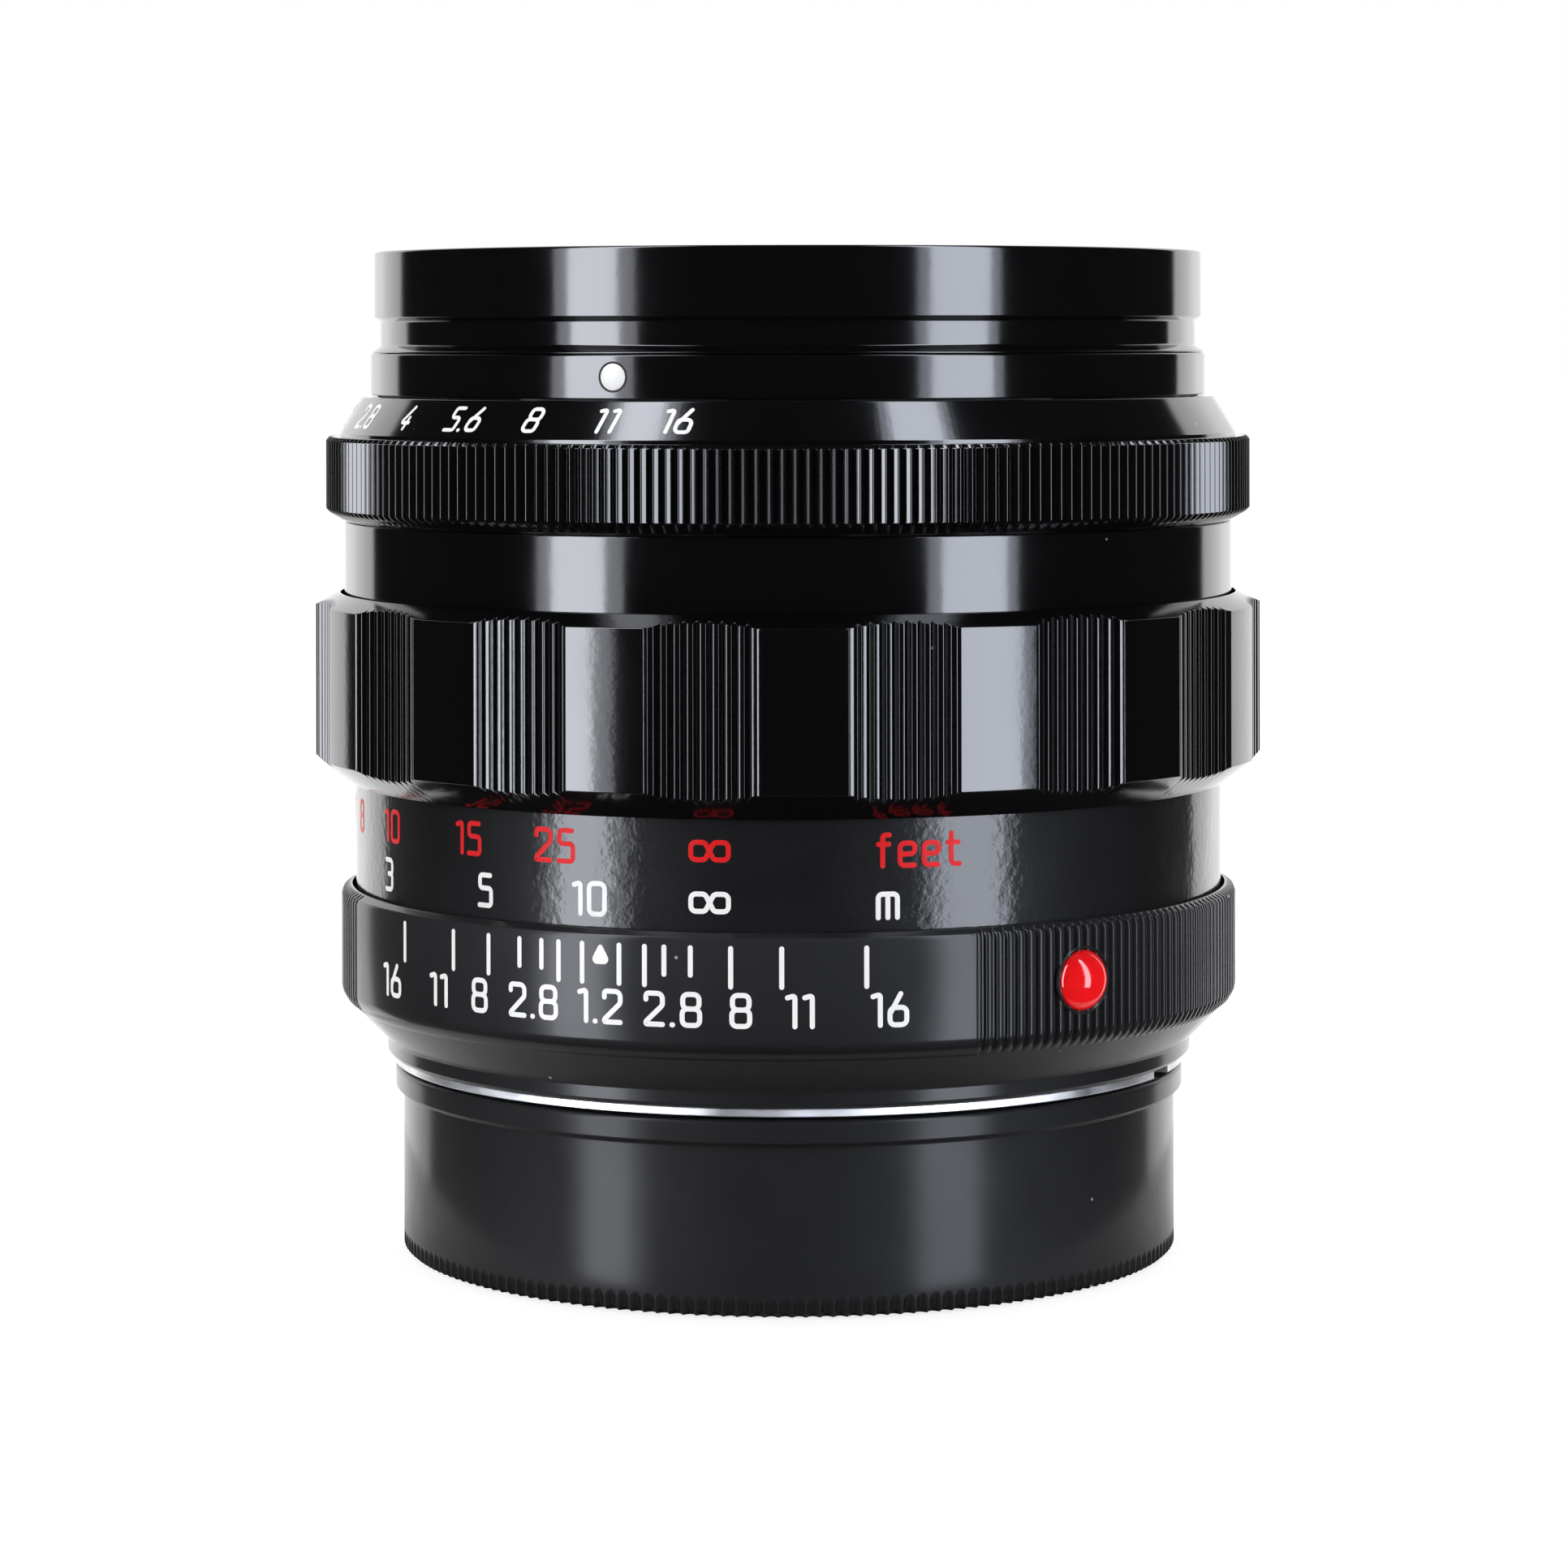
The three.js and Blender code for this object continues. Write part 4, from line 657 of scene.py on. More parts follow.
def at_lug(azimuth):
    """Whether an azimuth crosses one of the bayonet's evenly spaced lugs."""
    pitch = TURN / LUG_COUNT
    return abs((azimuth + pitch / 2) % pitch - pitch / 2) <= LUG_SPAN / 2


def steps_at(edges):
    """Azimuths just before and just after each of some edges, so that a mesh steps there."""
    return [(edge + side * STEP_AZIMUTH) % TURN for edge in edges for side in (-1, 1)]


def lug_steps():
    middles = [TURN * lug / LUG_COUNT for lug in range(LUG_COUNT)]
    return steps_at([middle + side * LUG_SPAN / 2 for middle in middles for side in (-1, 1)])


def rear_cap():
    foot, top, rim_radius = span("rear_cap")
    low_lug, high_lug, lug_inner = CAP_LUG
    groove_in, groove_out, groove_depth = CAP_BASE_GROOVE

    def column(azimuth):
        across = (2 * (azimuth * CAP_SCOOP_COUNT / TURN % 1.0) - 1) / CAP_SCOOP_SHARE
        within = max(0.0, 1 - across ** 2)
        arch = math.sqrt(within)
        drop = CAP_SCOOP_DEPTH * within
        scoop_top = CAP_SCOOP_SHOULDER + (CAP_SCOOP_TOP - CAP_SCOOP_SHOULDER) * arch
        scoop_middle = (CAP_SCOOP_FOOT + scoop_top) / 2
        inner = lug_inner if at_lug(azimuth) else CAP_BORE
        outline = [
            (groove_out, foot), (CAP_RADIUS - drop - CAP_FOOT_BEVEL, foot),
            (CAP_RADIUS - drop, foot + CAP_SCOOP_FOOT),
            (CAP_RADIUS - drop * CAP_SCOOP_MIDDLE_SHARE, foot + scoop_middle),
            (CAP_RADIUS, foot + scoop_top), (CAP_RADIUS, foot + CAP_WALL_FOOT),
            (CAP_RADIUS, CAP_RIM_FOOT), (rim_radius, CAP_RIM_FOOT + CAP_RIM_SLOPE),
            (rim_radius, top), (CAP_BORE, top),
            (CAP_BORE, high_lug), (inner, high_lug),
            (inner, low_lug), (CAP_BORE, low_lug),
            (CAP_BORE, CAP_FLOOR), (CAP_CENTRE_HOLE, CAP_FLOOR),
            (CAP_CENTRE_HOLE, foot), (groove_in, foot),
            (groove_in, foot + groove_depth), (groove_out, foot + groove_depth),
        ]
        radii = [0, 0, 0.05, 0, 0, 0, 0.2, 0.15, 0.3, 0.15, 0, 0, 0, 0, 0.4, 0, 0, 0, 0, 0]
        return fillet(outline, radii, 3)

    pitch = TURN / CAP_SCOOP_COUNT
    azimuths = [pitch * (i + share) for i in range(CAP_SCOOP_COUNT) for share in CAP_SCOOP_SHARES]
    swept_ring("rear_cap", column, azimuths + lug_steps(), cap_plastic, "cap", "cap_plastic")


def bayonet_flange():
    foot, top, reach = span("bayonet_flange")
    bore, collar = FLANGE_COLLAR
    lug_top, lug_radius = FLANGE_LUG
    notch_half = math.degrees(NOTCH_WIDTH / 2 / reach)
    seat = NECK_RADIUS - NECK_WALL - FLANGE_SEAT_GAP

    def column(azimuth):
        lug = lug_radius if at_lug(azimuth) else collar
        edge = reach - NOTCH_DEPTH if abs(azimuth - NOTCH_AZIMUTH) <= notch_half else reach
        outline = [
            (bore, foot), (lug, foot),
            (lug, lug_top), (collar, lug_top),
            (collar, FLANGE_FACE), (edge, FLANGE_FACE),
            (edge, FLANGE_EDGE_TOP), (seat, FLANGE_EDGE_TOP),
            (seat, top), (bore, top),
        ]
        return fillet(outline, [0.1, 0.1, 0.05, 0, 0, 0.06, 0.08, 0, 0, 0], 3)

    notch_steps = steps_at((NOTCH_AZIMUTH - notch_half, NOTCH_AZIMUTH + notch_half))
    azimuths = evenly() + notch_steps + lug_steps()
    swept_ring("bayonet_flange", column, azimuths, chrome, "mount", "chrome")


# Mount barrel with its bead


def mount_barrel():
    foot, top, _ = span("depth_scale_ring")
    pitch = (TURN + PANEL_FROM - PANEL_TO) / BARREL_RIB_COUNT
    _, _, sleeve = span("distance_scale_sleeve")
    bore = sleeve + SLEEVE_GAP
    pocket = top - BARREL_POCKET
    shoulder_in, shoulder_down = BARREL_SHOULDER_EASE
    top_in, top_down = BARREL_TOP_EASE

    def ribbed(azimuth):
        around = (azimuth + 180.0) % TURN - 180.0
        return not PANEL_FROM <= around <= PANEL_TO

    def column(azimuth):
        drop = rib_drop((azimuth - PANEL_TO) / pitch, BARREL_RIB_DEPTH) if ribbed(azimuth) else 0.0
        face = BARREL_RADIUS - drop
        outline = [
            (NECK_RADIUS - NECK_WALL, foot), (NECK_FOOT_RADIUS, foot),
            (NECK_RADIUS, foot + NECK_FOOT_BEVEL), (NECK_RADIUS, NECK_TOP),
            (BARREL_CONE_RADIUS, BARREL_CONE_TOP), (BARREL_BEVEL_RADIUS - drop / 2, BARREL_BEVEL_TOP),
            (face - shoulder_in, BARREL_SHOULDER_TOP - shoulder_down), (face, BARREL_SHOULDER_TOP),
            (face, top - BARREL_TOP_FALL), (face - top_in, top - top_down),
            (BARREL_TOP_RADIUS, top), (bore, top),
            (bore, pocket), (BARREL_WEB_BORE, pocket),
            (BARREL_WEB_BORE, BARREL_WEB_FOOT), (NECK_RADIUS - NECK_WALL, BARREL_WEB_FOOT),
        ]
        return fillet(outline, [0, 0.1, 0.1, 0.15, 0.3, 0, 0, 0, 0, 0.1, 0.12, 0, 0, 0, 0, 0], 3)

    azimuths = [PANEL_FROM + PANEL_STEP * i for i in range(int((PANEL_TO - PANEL_FROM) / PANEL_STEP) + 1)]
    azimuths += [PANEL_FROM - STEP_AZIMUTH, PANEL_TO, PANEL_TO + STEP_AZIMUTH]
    for i in range(BARREL_RIB_COUNT):
        azimuths += [PANEL_TO + (i + share) * pitch for share in RIB_SHARES if i or share]
    azimuths = {round(a % TURN, 4) for a in azimuths}
    swept_ring("depth_scale_ring", column, azimuths, satin_black, "mount", "satin_black")


def index_bead():
    """Glossy dome in a round seat whose narrow rim stands a little proud of the ribs."""
    curve = (BEAD_RADIUS ** 2 + BEAD_PROUD ** 2) / (2 * BEAD_PROUD)
    outline = lens_surface((BEAD_PROUD, curve, BEAD_RADIUS, 1), BEAD_RADIUS, steps=16)
    outline += [(BEAD_RADIUS, -BEAD_SUNK), (0, -BEAD_SUNK)]
    made = disc("index_bead_fine", outline, red_bead, faces=SMALL_FACES)
    stand_along_radius(made, BEAD_AZIMUTH, BARREL_RADIUS, BEAD_HEIGHT)
    carry(made, "mount", "red_bead", "index_bead")
    rim = turned("index_bead_seat", BEAD_SEAT, satin_black, 0.03, SMALL_FACES)
    stand_along_radius(rim, BEAD_AZIMUTH, BARREL_RADIUS, BEAD_HEIGHT)
    carry(rim, "mount", "satin_black")


def stand_along_radius(made, azimuth, radius, height):
    """Turns a mesh made round +Z so that its axis points out along a radius, then puts it at its place."""
    angle = math.radians(azimuth)
    for vertex in made.data.vertices:
        x, y, z = vertex.co
        out = radius * MM + z
        vertex.co = (
            out * math.sin(angle) + x * math.cos(angle),
            -out * math.cos(angle) + x * math.sin(angle),
            height * MM + y,
        )


# Focus ring and distance sleeve


def focus_ring():
    foot, top, radius = span("focus_ring")
    pitch = TURN / SCALLOP_COUNT
    half = SCALLOP_SPAN / 2
    flute = SCALLOP_SPAN / FLUTES
    arc_length = math.radians(radius)
    half_flute = flute / 2 * arc_length
    samples = [0.0, *facet_ends(FLUTE_FACETS), half_flute - FLUTE_VALLEY]
    step = foot + FOCUS_STEP

    def cut(azimuth):
        around = (azimuth - FOCUS_REST + pitch / 2) % pitch - pitch / 2
        if abs(around) >= half:
            return radius
        hollow = radius - SCALLOP_DEPTH * (1 - (around / half) ** 2)
        across = ((around + half) % flute - flute / 2) * arc_length
        wall = radius - EDGE_SLOPE * (half - abs(around)) * arc_length
        return max(hollow - facet_drop(across, half_flute, FLUTE_FACETS, FLUTE_FLANK_ANGLE), wall)

    def column(azimuth):
        face = cut(azimuth)
        slope_foot = (face - FOCUS_FOOT_RADIUS) / (radius - FOCUS_FOOT_RADIUS)
        slope_top = (radius - face) / (radius - FOCUS_TOP_RADIUS)
        outline = [
            (FOCUS_LOWER_BORE, foot), (FOCUS_LOWER_BORE + FOCUS_FOOT_FLAT, foot),
            (face, foot + (FOCUS_SHOULDER - foot) * slope_foot),
            (face, top - FOCUS_TOP_CHAMFER + FOCUS_TOP_CHAMFER * slope_top), (FOCUS_TOP_RADIUS, top),
            (FOCUS_BORE, top), (FOCUS_BORE, step),
            (FOCUS_LOWER_BORE, step),
        ]
        return fillet(outline, [0, 0.06, 0.09, 0.07, 0.05, 0.04, 0, 0], 4)

    azimuths = []
    for k in range(SCALLOP_COUNT):
        middle = FOCUS_REST + k * pitch
        for i in range(FLUTES):
            crest = middle - half + flute * (i + 0.5)
            for across in samples:
                azimuths += [crest - across / arc_length, crest + across / arc_length]
        azimuths += [middle + side * (half + out) for side in (-1, 1) for out in (0.0, SCALLOP_EDGE)]
        land = pitch - SCALLOP_SPAN
        azimuths += [middle + half + land * i / LAND_FACES for i in range(1, LAND_FACES)]
    azimuths = {round(a % TURN, 4) for a in azimuths}
    swept_ring("focus_ring", column, azimuths, ring_enamel, "focus", "black_enamel")


def distance_sleeve():
    foot, top, radius = span("distance_scale_sleeve")
    outline = [(SLEEVE_BORE, foot), (radius, foot), (radius, top), (SLEEVE_BORE + SLEEVE_ROUND, top)]
    turned_ring("distance_scale_sleeve", outline, sleeve_enamel, "focus", "satin_black", SLEEVE_ROUND)


# Head: barrel, aperture ring, index ring, filter ring


def head_barrel():
    foot, top, radius = span("head_barrel")
    web = top - HEAD_WEB
    outline = [(HEAD_BORE, web), (HEAD_SKIRT_BORE, web), (HEAD_SKIRT_BORE, foot)]
    outline += [(radius, foot), (radius, top), (HEAD_BORE, top)]
    radii = [0, 0, 0.05, 0.08, 0.12, 0]
    turned_ring("head_barrel", outline, black_enamel, "head", "black_enamel", radii)


def aperture_ring():
    foot, top, _ = span("aperture_ring")
    bevel_depth, bevel_height = BAND_BEVEL
    pitch = TURN / BAND_RIB_COUNT
    arc_length = math.radians(BAND_RADIUS)
    half_pitch = pitch / 2 * arc_length

    def column(azimuth):
        across = ((azimuth + pitch / 2) % pitch - pitch / 2) * arc_length
        face = BAND_RADIUS - facet_drop(across, half_pitch, RIB_FACETS, RIB_FLANK_ANGLE)
        outline = [
            (APERTURE_BORE, foot), (APERTURE_FOOT_RADIUS, foot),
            (face - bevel_depth, BAND_FOOT), (face, BAND_FOOT + bevel_height),
            (face, BAND_TOP - bevel_height), (face - bevel_depth, BAND_TOP),
            (CONE_FOOT_RADIUS, BAND_TOP + BAND_TOP_SLOPE), (CONE_FOOT_RADIUS, CONE_FOOT),
            (CONE_TOP_RADIUS, top), (APERTURE_BORE, top),
        ]
        return fillet(outline, [0, 0.05, 0, 0.08, 0.08, 0, 0.03, 0.06, 0.08, 0], 3)

    samples = [RIB_EDGE, *facet_ends(RIB_FACETS), half_pitch - RIB_EDGE]
    shares = sorted(0.5 + side * across / half_pitch / 2 for across in samples for side in (-1, 1))
    azimuths = [pitch * (i + share - 0.5) for i in range(BAND_RIB_COUNT) for share in shares]
    swept_ring("aperture_ring", column, azimuths, black_enamel, "aperture", "black_enamel")


def index_ring():
    foot, top, radius = span("aperture_index_ring")
    outline = [(HEAD_BORE, foot), (radius, foot), (radius, top), (HEAD_BORE, top)]
    turned_ring("aperture_index_ring", outline, black_enamel, "head", "black_enamel", [0, 0.08, 0.1, 0])
    height = (foot + top) / 2
    dot = disc("index_dot_fine", INDEX_DOT, white_paint, faces=SMALL_FACES)
    stand_along_radius(dot, 0.0, radius, height)
    carry(dot, "head", "white_paint", "index_dot")
    # A thin matt black ring round the dot, painted shade standing in for the groove's shadow
    edge = turned("index_dot_groove_shade", INDEX_DOT_GROOVE_SHADE, painted_groove_shade, faces=SMALL_FACES)
    stand_along_radius(edge, 0.0, radius, height)
    carry(edge, "head", "black_enamel")


def filter_ring():
    foot, top, skirt = span("filter_ring")
    tooth = ((0.0, 0.0), (THREAD_DEPTH, 0.45), (THREAD_DEPTH, 0.55), (0.0, 0.99))
    thread = []
    for i in range(THREAD_TURNS):
        height = top - THREAD_START - i * THREAD_PITCH
        thread += [(FILTER_BORE + depth, height - THREAD_PITCH * share) for depth, share in tooth]
    outline = [
        (FILTER_BORE, foot), (skirt, foot),
        (GROOVE_RADIUS, GROOVE_FOOT), (GROOVE_RADIUS, GROOVE_TOP),
        (RIM_RADIUS, RIM_FOOT), (RIM_RADIUS, top),
        (FILTER_BORE + FILTER_LIP, top), *thread,
    ]
    radii = [0, 0.06, 0.12, 0.06, 0.08, 0.16, 0.1] + [0] * len(thread)
    turned_ring("filter_ring", outline, black_enamel, "head", "black_enamel", radii)


# Bezel, glass and the plain inner pieces


def front_bezel():
    foot, top, outer = span("front_bezel")
    lip = outer - BAFFLE_LIP
    start = top - BAFFLE_START
    skirt_in, skirt_out = (foot + end for end in BEZEL_SKIRT_ENDS)
    baffle = []
    for i in range(BAFFLE_STEPS):
        radius = lip + (BAFFLE_FOOT_RADIUS - lip) * i / BAFFLE_STEPS
        upper, lower = (start - (start - BAFFLE_FOOT) * k / BAFFLE_STEPS for k in (i, i + 1))
        baffle += [(radius, upper), (radius, lower + BAFFLE_TREAD)]
    outline = [(BEZEL_BORE, skirt_out), (BEZEL_BORE, BEZEL_SEAT), (outer, BEZEL_SEAT), (outer, top)]
    outline += [(lip, top), *baffle]
    outline += [(BAFFLE_FOOT_RADIUS, BAFFLE_FOOT - BAFFLE_LAST_DROP), (BAFFLE_FOOT_RADIUS, skirt_in)]
    turned_ring("front_bezel", outline, anodised, "head", "anodised")


def lens_surface(shape, radius, steps=24):
    """A lens's face from its axis outwards: flat at a height, or a ball's cap.

    The cap is given by its vertex's height, the ball's radius, its own radius and 1 where its rim lies
    below its vertex or -1 where it lies above.
    """
    if isinstance(shape, float):
        return [(0, shape), (radius, shape)]
    vertex, curve, clear, fall = shape
    return [(clear * i / steps, vertex - fall * sag(curve, clear * i / steps)) for i in range(steps + 1)]


def glass_element(number, front, rear, radius, material):
    flats = [(radius, face[-1][1]) for face in (front, rear) if face[-1][0] < radius - SAME_RADIUS]
    outline = front + flats + rear[::-1]
    made = disc(f"glass_element_{number}_fine", outline, material, faces=GLASS_FACES)
    made.data.materials.append(glass_edge)
    for face in made.data.polygons:
        at_rim = math.hypot(*face.center[:2]) > (radius - GLASS_RIM) * MM
        edge_on = at_rim and abs(face.normal.z) < UPRIGHT
        face.material_index = 1 if edge_on else 0
    carry(made, "head", "glass", f"glass_element_{number}")


def glass():
    """The six elements from the front, each with its radius, its front and rear face and its coating."""
    elements = (
        (21.75, (58.46, 48, 21.75, 1), (53.86, 150, 21.75, 1), violet_glass),
        (17.2, (53.36, 38, 17.2, 1), 48.81, amber_glass),
        (17.2, 48.76, (47.36, 24, 12.9, 1), violet_glass),
        (16, (33.0, 22, 12.5, -1), 31.65, green_glass),
        (16, 31.6, (24.6, 28, 16, -1), amber_glass),
        (15.4, (23.6, 60, 15.4, 1), (18.1, 60, 15.4, -1), violet_glass),
    )
    for number, (radius, front, rear, coating) in enumerate(elements, 1):
        glass_element(number, lens_surface(front, radius), lens_surface(rear, radius), radius, coating)


def plain_nodes():
    """CAD nodes whose own shape shows, or lies hidden inside, get their finish only."""
    finishes = dict(
        anodised=anodised, brass=brass, steel=steel, chrome=chrome, blade=blade_steel, glass=amber_glass,
        black_enamel=black_enamel, satin_black=satin_black, cap_plastic=cap_plastic,
        red_bead=red_bead, white_paint=white_paint,
    )
    slots = {part["node"]: part["material_slot"] for part in frame["record"]["subparts"]}
    for node, obj in frame["nodes"].items():
        finish = finishes[slots[node]]
        if not obj.material_slots:
            obj.data.materials.append(finish)
        for place in obj.material_slots:
            place.material = finish


# Lettering, drawn with one stroke width like an engraver's cutter: each glyph is a width and its strokes.
# A stroke is (points, corner radius, closed) in a box one unit high.

ROUND = 0.17


def line(*points, corner=0.0):
    """An open stroke with the radius of its corners."""
    return (points, corner, False)


def loop(left, foot, right, top):
    """A closed stroke round a box."""
    return ([(left, foot), (right, foot), (right, top), (left, top)], ROUND, True)


GLYPHS = {
    "0": (0.56, [loop(0, 0, 0.56, 1)]),
    "1": (0.24, [line((0, 0.93), (0.24, 1.0), (0.24, 0), corner=0.07)]),
    "2": (0.56, [
        line((0, 0.8), (0, 1), (0.56, 1), (0.56, 0.62), (0, 0.08), (0, 0), (0.56, 0), corner=ROUND),
    ]),
    "3": (0.5, [
        line((0, 1), (0.5, 1), (0.5, 0.53), (0.2, 0.53), corner=ROUND),
        line((0.2, 0.53), (0.5, 0.53), (0.5, 0), (0, 0), corner=ROUND),
    ]),
    "4": (0.6, [line((0.36, 1), (0, 0.28), (0.6, 0.28), corner=0.07), line((0.44, 0.52), (0.44, 0))]),
    "5": (0.54, [line((0.5, 1), (0.03, 1), (0.03, 0.57), (0.54, 0.57), (0.54, 0), (0, 0), corner=0.12)]),
    "6": (0.56, [line((0.36, 1), (0, 0.36)), loop(0, 0, 0.56, 0.56)]),
    "7": (0.54, [line((0, 1), (0.54, 1), (0.16, 0), corner=0.08)]),
    "8": (0.58, [loop(0, 0, 0.58, 0.53), loop(0.02, 0.53, 0.56, 1)]),
    "9": (0.56, [line((0.2, 0), (0.56, 0.64)), loop(0, 0.44, 0.56, 1)]),
    ".": (0.02, [line((0, 0), (0.02, 0))]),
    "f": (0.4, [line((0.14, 0), (0.14, 1), (0.36, 1), corner=0.14), line((0, 0.7), (0.34, 0.7))]),
    "e": (0.5, [line((0.03, 0.37), (0.5, 0.37), (0.5, 0.72), (0, 0.72), (0, 0), (0.48, 0), corner=0.15)]),
    "t": (0.4, [line((0.12, 1), (0.12, 0), (0.4, 0), corner=0.14), line((0, 0.7), (0.36, 0.7))]),
    "m": (0.64, [
        line((0, 0), (0, 0.76), (0.64, 0.76), (0.64, 0), corner=0.14),
        line((0.32, 0.72), (0.32, 0)),
    ]),
    "infinity": (1.1, [
        ([(0.55, 0.5), (0.42, 0.75), (0, 0.75), (0, 0.25), (0.42, 0.25)], 0.15, True),
        ([(0.55, 0.5), (0.68, 0.25), (1.1, 0.25), (1.1, 0.75), (0.68, 0.75)], 0.15, True),
    ]),
}
GLYPH_GAP = 0.32


def stations(points, closed, half):
    """Points along a stroke, each with its direction and half width; an open one ends in half circles."""
    path = [np.array(p, float) for p in points]
    path = [p for i, p in enumerate(path) if i == 0 or np.linalg.norm(p - path[i - 1]) > SAME_POINT]
    if closed and np.linalg.norm(path[0] - path[-1]) < SAME_POINT:
        path.pop()
    out = []
    count = len(path)
    for i, point in enumerate(path):
        if closed:
            before, after = path[i - 1], path[(i + 1) % count]
        else:
            before, after = path[max(i - 1, 0)], path[min(i + 1, count - 1)]
        along = (after - before) / np.linalg.norm(after - before)
        out.append((point, along, half))
    if closed:
        return out
    first, last = out[0], out[-1]
    start = []
    end = []
    for i in range(1, STROKE_END_STEPS + 1):
        angle = math.pi / 2 * i / STROKE_END_STEPS
        width = max(half * math.cos(angle), LEAST_HALF_WIDTH)
        start.insert(0, (first[0] - first[1] * half * math.sin(angle), first[1], width))
        end.append((last[0] + last[1] * half * math.sin(angle), last[1], width))
    return start + out + end


def stroke_mesh(vertices, faces, points, closed, half, place, level):
    """Adds one painted stroke: a slab with a crowned top; place maps a flat point and a height to space."""
    path = stations(points, closed, half)
    base = len(vertices)
    proud = PAINT_PROUD + level
    ring = 5
    for point, along, width in path:
        side = np.array((-along[1], along[0])) * width
        left, right = point + side, point - side
        crown = PAINT_CROWN * min(1.0, width / half)
        top = ((left, proud), (point, proud + crown), (right, proud))
        foot = ((right, -PAINT_SUNK), (left, -PAINT_SUNK))
        vertices += [place(*flat, out) for flat, out in top + foot]
    count = len(path)
    for i in range(count if closed else count - 1):
        here, there = base + ring * i, base + ring * ((i + 1) % count)
        for j in range(ring):
            k = (j + 1) % ring
            faces.append((here + j, here + k, there + k, there + j))
    if not closed:
        faces.append(tuple(base + j for j in reversed(range(ring))))
        faces.append(tuple(base + ring * (count - 1) + j for j in range(ring)))


def text_width(glyphs, height):
    return sum(GLYPHS[g][0] for g in glyphs) * height + GLYPH_GAP * height * (len(glyphs) - 1)


def lettering(name, glyphs, surface, material, body, height=LETTER_HEIGHT, slant=0.0, stroke=STROKE):
    """One word or number on a surface, its box centred on the surface's origin."""
    tall = height - stroke
    cursor = -text_width(glyphs, tall) / 2
    vertices, faces = [], []
    level = 0.0
    for glyph in glyphs:
        width, strokes = GLYPHS[glyph]
        for points, radius, closed in strokes:
            flat = [(cursor + x * tall + slant * (y - 0.5) * tall, (y - 0.5) * tall) for x, y in points]
            curve = fillet(flat, radius * tall, 5, closed, 0.0) if radius else flat
            stroke_mesh(vertices, faces, curve, closed, stroke / 2, surface, level)
            level += PAINT_STEP
        cursor += (width + GLYPH_GAP) * tall
    carry(mesh_object(name, vertices, faces, material), body, "white_paint")


def cone_surface(foot_radius, foot, top_radius, top, azimuth, middle):
    """Maps (across, up, out) onto a cone about the axis; up runs along its slope."""
    length = math.hypot(top_radius - foot_radius, top - foot)
    lean_r, lean_z = (top_radius - foot_radius) / length, (top - foot) / length

    def place(across, up, out):
        along = (middle - foot) / lean_z + up
        radius = foot_radius + along * lean_r
        turned_to = azimuth + math.degrees(across / radius)
        return polar(radius + out * lean_z, turned_to, foot + along * lean_z - out * lean_r)
    return place


def cylinder_surface(radius, azimuth, height):
    """Maps (across, up, out) onto a cylinder about the axis."""
    return cone_surface(radius, 0.0, radius, 1.0, azimuth, height)


def distance_angle(metres):
    """Degrees that the focus ring turns from infinity to a distance."""
    away = metres * 1000
    extension = FOCAL_LENGTH ** 2 / (away - 2 * FOCAL_LENGTH)
    return extension / FOCUS_LEAD * TURN


def distance_scale():
    _, _, radius = span("distance_scale_sleeve")
    metres = ("10", "5", "3", "2", "1.5", "1.2", "1")
    feet = ("25", "15", "10", "8", "7", "6", "5", "4", "3.5")
    rows = [
        ("metre", METRE_ROW, white_paint, 1.0, metres, "m", 21.7),
        ("foot", FOOT_ROW, red_paint, FOOT_IN_METRES, feet, "feet", 25.7),
    ]
    for name, height, material, unit, marks, word, word_angle in rows:
        for mark in marks:
            azimuth = FOCUS_REST - distance_angle(float(mark) * unit)
            surface = cylinder_surface(radius, azimuth, height)
            label = f"{name}_figure_{mark.replace('.', '_')}"
            lettering(label, mark, surface, material, "focus")
        surface = cylinder_surface(radius, FOCUS_REST, height)
        lettering(f"{name}_infinity", ["infinity"], surface, material, "focus", INFINITY_HEIGHT)
        surface = cylinder_surface(radius, FOCUS_REST + word_angle, height)
        lettering(f"{name}_word", word, surface, material, "focus")


def depth_scale():
    _, top, _ = span("depth_scale_ring")
    radius = BARREL_RADIUS
    stops = (1.2, 2.8, 4, 5.6, 8, 11, 16)
    short = (4, 5.6)
    for stop in stops:
        foot = SHORT_DEPTH_LINE_FOOT if stop in short else DEPTH_LINE_FOOT
        for side in (-1, 1):
            azimuth = side * DEPTH_PER_STOP_NUMBER * stop
            surface = cylinder_surface(radius, azimuth, 0)
            vertices, faces = [], []
            ends = [(0, foot + STROKE / 2), (0, top - DEPTH_LINE_GAP - STROKE / 2)]
            stroke_mesh(vertices, faces, ends, False, STROKE / 2, surface, 0.0)
            label = f"depth_line_{'near' if side < 0 else 'far'}_{str(stop).replace('.', '_')}"
            carry(mesh_object(label, vertices, faces, white_paint), "mount", "white_paint")
    figures = (
        ("16", -35.1), ("11", -24.7), ("8", -17.4), ("2.8", -9.2), ("1.2", -0.1),
        ("2.8", 9.0), ("8", 17.1), ("11", 24.0), ("16", 34.6),
    )
    for i, (text, azimuth) in enumerate(figures):
        surface = cylinder_surface(radius, azimuth, DEPTH_ROW)
        lettering(f"depth_figure_{i + 1}", text, surface, white_paint, "mount")
    pointer(radius)


def pointer(radius):
    """White pointer of the focus index: a small triangle with soft corners, its tip up."""
    outline = fillet([(-0.72, -0.6), (0.72, -0.6), (0, 0.72)], [0.3, 0.3, 0.16], 6, hold=0.0)
    surface = cylinder_surface(radius, 0.0, POINTER_HEIGHT)
    top = [surface(x, y, PAINT_PROUD) for x, y in outline]
    low = [surface(x, y, -PAINT_SUNK) for x, y in outline]
    made = mesh_object("focus_pointer", top + low, slab_faces(len(outline)), white_paint)
    carry(made, "mount", "white_paint")


